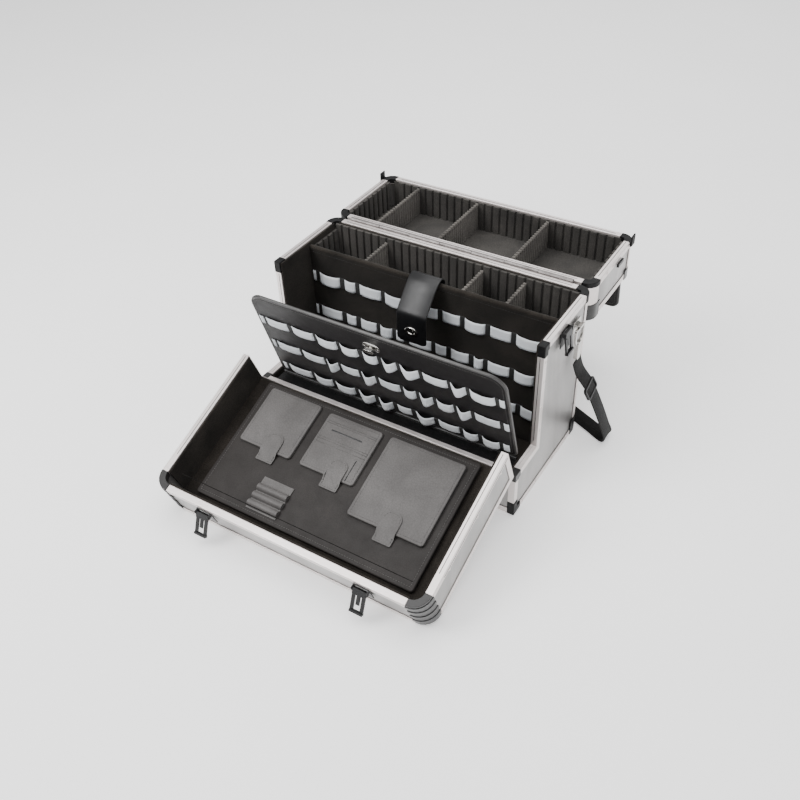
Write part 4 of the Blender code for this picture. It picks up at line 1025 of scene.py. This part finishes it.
def pocket(node, top):
    x, reach, tab, thick, slits = POCKETS[node]
    place = axes((0, top + 0.0003, DOOR_LOW.z), X, Z, Y)
    pad = (place, x, reach, (0.005,) * 4)
    form = bmesh.new()
    slab(form, *pad, eased(thick, 0.0016, 0.0, 0.0011, 0.03), 5)
    bmesh.ops.subdivide_edges(form, edges=[e for e in form.edges if e.calc_length() > 0.02], cuts=6,
                              use_grid_fill=True)
    seed = len(node)
    for vertex in form.verts:
        vertex.co.y += 0.0004 * noise.noise(vertex.co * 55 + Vector((seed, seed * 2, 0)))
    stand_in(node, form, "pocket", smooth=55)
    seam = bmesh.new()
    edge_seam(seam, rim_line(*pad, 5, 0.0046, thick + 0.00035), Y)
    pocket_trim(node + "_seam", seam)

    half, foot = 0.015, reach[1]
    outline = ((tab - half, tab + half), (foot - 0.03, foot + 0.018), (0.0125, 0.0125, 0.002, 0.002), 7)

    def draped(inset, height):
        """Ring of the tab, which lies on the pocket and drops over its edge to the board."""
        return [place @ Vector((a, b, surface(b) + height)) for a, b in corners(*outline, inset)]

    def surface(b):
        edge = min(1.0, max(0.0, (b - (foot - 0.002)) / 0.01))
        return (thick + 0.0009) * (1 - edge * edge * (3 - 2 * edge)) + 0.0006 * edge

    flap = bmesh.new()
    made = bridge(flap, [draped(0.0, -0.0004), draped(0.0, 0.0012), draped(0.0005, 0.0017),
                         draped(0.0016, 0.0018)], cap_ends=False)
    bmesh.ops.triangle_fill(flap, use_beauty=True, edges=[
        e for e in flap.edges if e.verts[0] in made[-1] and e.verts[1] in made[-1]])
    bmesh.ops.subdivide_edges(flap, edges=[e for e in flap.edges if e.calc_length() > 0.008], cuts=3)
    for vertex in flap.verts:
        local = place.inverted() @ vertex.co
        if all(vertex not in ring for ring in made):
            vertex.co = place @ Vector((local.x, local.y, surface(local.y) + 0.0018))
    pocket_trim(node + "_tab", flap, "pocket", 50)
    seam = bmesh.new()
    edge_seam(seam, draped(0.0026, 0.0019), Y)
    pocket_trim(node + "_tab_seam", seam)
    if slits:
        # Black raised strips over the slits: painted shade in the openings
        cuts = bmesh.new()
        for across, along in slits:
            slab(cuts, place, across, along, (0.0004,) * 4,
                 [(0.0, thick), (0.0, thick + 0.0012), (0.0003, thick + 0.0014)], 2)
        pocket_trim(node + "_slit_shade", cuts, "strap")
        folds = bmesh.new()
        for at in (0.034, 0.037, 0.062, 0.0655, 0.0715):
            line = [place @ Vector((a, at, thick + 0.001)) for a in (x[0] + 0.004, x[1] - 0.004)]
            stitches(folds, line, Y, 0.0034, 0.003)
        pocket_trim(node + "_folds", folds)


# Each pocket's width, its reach from the hinge, the middle of its tab, its depth and its slits
POCKETS = {
    "pocket_small": ((-0.179, -0.084), (0.017, 0.116), -0.121, 0.0045, ()),
    "pocket_card": ((-0.066, 0.03), (0.021, 0.116), -0.004, 0.0045,
                    (((-0.047, 0.007), (0.0462, 0.0484)), ((0.015, 0.0162), (0.078, 0.113)))),
    "pocket_large": ((0.044, 0.17), (0.021, 0.156), 0.112, 0.0055, ()),
}


def pen_loops():
    low, high = shut_box("pen_loops")
    form = bmesh.new()
    tall = high.y - low.y
    count, flat = 3, 0.0095
    pitch = (high.z - low.z - flat) / count
    profile = [(low.z - 0.0015, 0.0), (low.z - 0.0015, 0.0012), (low.z + flat, 0.0014)]
    for i in range(count):
        start = low.z + flat + pitch * i
        for k in range(13):
            t = k / 12
            profile.append((start + 0.0008 + (pitch - 0.0016) * t,
                            0.0014 + (tall - 0.0014) * math.sin(math.pi * t) ** 0.55))
    profile += [(high.z + 0.0015, 0.0009), (high.z + 0.0015, 0.0)]
    rings = []
    steps = 12
    for i in range(steps + 1):
        x = low.x + (high.x - low.x) * i / steps
        rings.append([Vector((x, low.y + v + 0.0002 * noise.noise(Vector((x * 80, u * 60, 0))), u))
                      for u, v in profile])
    bridge(form, rings)
    stand_in("pen_loops", form, "pocket", smooth=50)
    seam = bmesh.new()
    for i in range(count + 1):
        z = low.z + flat - 0.0006 + pitch * i
        line = [Vector((x, low.y + 0.0014, z)) for x in (low.x + 0.002, high.x - 0.002)]
        stitches(seam, line, Y)
    pocket_trim("pen_loops_seam", seam)


# ---- shoulder strap
STRAP_WIDE = 0.028
STRAP_THICK = 0.0022
GROUND = STRAP_THICK / 2 + 0.0003
STRAP_HALF = [
    (0.237, 0.062, 0.174), (0.243, 0.064, 0.154), (0.257, 0.071, 0.128), (0.269, 0.078, 0.096),
    (0.2785, 0.086, 0.064), (0.285, 0.094, 0.036), (0.288, 0.101, 0.017), (0.284, 0.107, 0.006),
    (0.272, 0.114, GROUND), (0.25, 0.124, GROUND), (0.215, 0.14, GROUND), (0.17, 0.16, GROUND),
    (0.115, 0.18, GROUND), (0.057, 0.194, GROUND),
]


def shoulder_strap():
    half = [Vector(point) for point in STRAP_HALF]
    other = [Vector((-p.x, p.y, p.z)) for p in reversed(half)]
    line = smooth_line(half + [Vector((0.0, 0.199, GROUND))] + other, 0.006)
    form = bmesh.new()
    ribbon(form, line, STRAP_WIDE, STRAP_THICK, Y)
    strap = stand_in("shoulder_strap", form, "webbing", smooth=60)
    for name, index in (("right", 10), ("left", len(line) - 11)):
        along = (line[index + 1] - line[index - 1]).normalized()
        side = (Y - along * along.dot(Y)).normalized()
        place = axes(line[index], side, along, side.cross(along))
        slider = bmesh.new()
        rings = [rim_line(place, (-0.0182, 0.0182), (-0.0105, 0.0105), (0.004,) * 4, 4, grow, height)
                 for grow, height in ((0.0, -0.0021), (0.0, 0.0021), (0.0032, 0.0021), (0.0032, -0.0021))]
        bridge(slider, rings + rings[:1], cap_ends=False)
        bmesh.ops.remove_doubles(slider, verts=slider.verts, dist=1e-6)
        prism(slider, [(-0.016, -0.0016), (0.016, -0.0016), (0.016, 0.0016), (-0.016, 0.0016)], place,
              0.0013, 0.003)
        add(f"strap_slider_{name}", slider, "black", "case_body", "black_fittings", smooth=35,
            bevel=0.0005, segments=2)


# ---- stage
def floor_and_lights():
    reach = 30.0
    mesh = bpy.data.meshes.new("floor")
    mesh.from_pydata([(-reach, -reach, 0), (reach, -reach, 0), (-reach, reach, 0), (reach, reach, 0)], [],
                     [(0, 1, 3, 2)])
    floor = linked("floor", mesh)
    floor.location.z = -0.0013
    paper = grained("pale_floor", (0.94, 0.94, 0.94), 0.9, 0.0, (3, 2), (0.93, 0.93, 0.93),
                    (0.96, 0.96, 0.96), Specular_IOR_Level=0.1, Emission_Color=(1, 1, 1, 1),
                    Emission_Strength=0.5)
    mesh.materials.append(paper.material)

    world = bpy.data.worlds.new("studio")
    bpy.context.scene.world = world
    world.use_nodes = True
    tree = world.node_tree
    heading = tree.nodes.new("ShaderNodeTexCoord").outputs["Generated"]
    split = tree.nodes.new("ShaderNodeSeparateXYZ")
    tree.links.new(heading, split.inputs[0])
    sky = tree.nodes.new("ShaderNodeValToRGB")
    tree.links.new(split.outputs["Z"], sky.inputs["Fac"])
    levels = [(0.0, 0.62), (0.12, 0.34), (0.38, 0.34), (0.7, 0.75), (1.0, 1.0)]
    while len(sky.color_ramp.elements) < len(levels):
        sky.color_ramp.elements.new(0.5)
    for element, (height, grey) in zip(sky.color_ramp.elements, levels):
        element.position = height
        element.color = (grey, grey, grey, 1)
    tree.links.new(sky.outputs["Color"], tree.nodes["Background"].inputs["Color"])
    tree.nodes["Background"].inputs["Strength"].default_value = 0.9
    target = Vector((0.0, 0.0, 0.12))
    lamps = (("key", (-1.05, -1.35, 1.80), 1.1, 42), ("top", (0.1, 0.0, 2.6), 2.6, 62),
             ("side", (2.2, -0.5, 1.0), 1.6, 9), ("back", (-0.6, 2.3, 2.0), 1.6, 14))
    for name, place, size, power in lamps:
        data = bpy.data.lights.new(name, "AREA")
        data.size, data.energy = size, power
        lamp = linked(name, data)
        lamp.location = place
        lamp.rotation_mode = "QUATERNION"
        lamp.rotation_quaternion = (target - Vector(place)).to_track_quat("-Z", "Y")


def camera():
    data = bpy.data.cameras.new("camera")
    data.lens, data.sensor_width = 40.81, 36
    seen = linked("camera", data)
    seen.location = (0.5971, -0.9675, 1.0022)
    yaw, pitch, roll = (math.radians(a) for a in (33.282, 40.134, -2.495))
    forward = Vector((-math.sin(yaw) * math.cos(pitch), math.cos(yaw) * math.cos(pitch), -math.sin(pitch)))
    right = Vector((math.cos(yaw), math.sin(yaw), 0))
    up = right.cross(forward)
    side = right * math.cos(roll) + up * math.sin(roll)
    top = up * math.cos(roll) - right * math.sin(roll)
    seen.rotation_mode = "QUATERNION"
    seen.rotation_quaternion = Matrix((side, top, -forward)).transposed().to_quaternion()
    bpy.context.scene.camera = seen


camera()
floor_and_lights()
hard_pieces()
shoulder_strap()
corner_caps()
lid_lugs()
leg_caps()
guard_ridges()
rail_seam_shade()
panel_rivets()
hinge_screws()
flap_trim()
slot_liners()
partition()
tool_board()
closing_strap()
organizer()
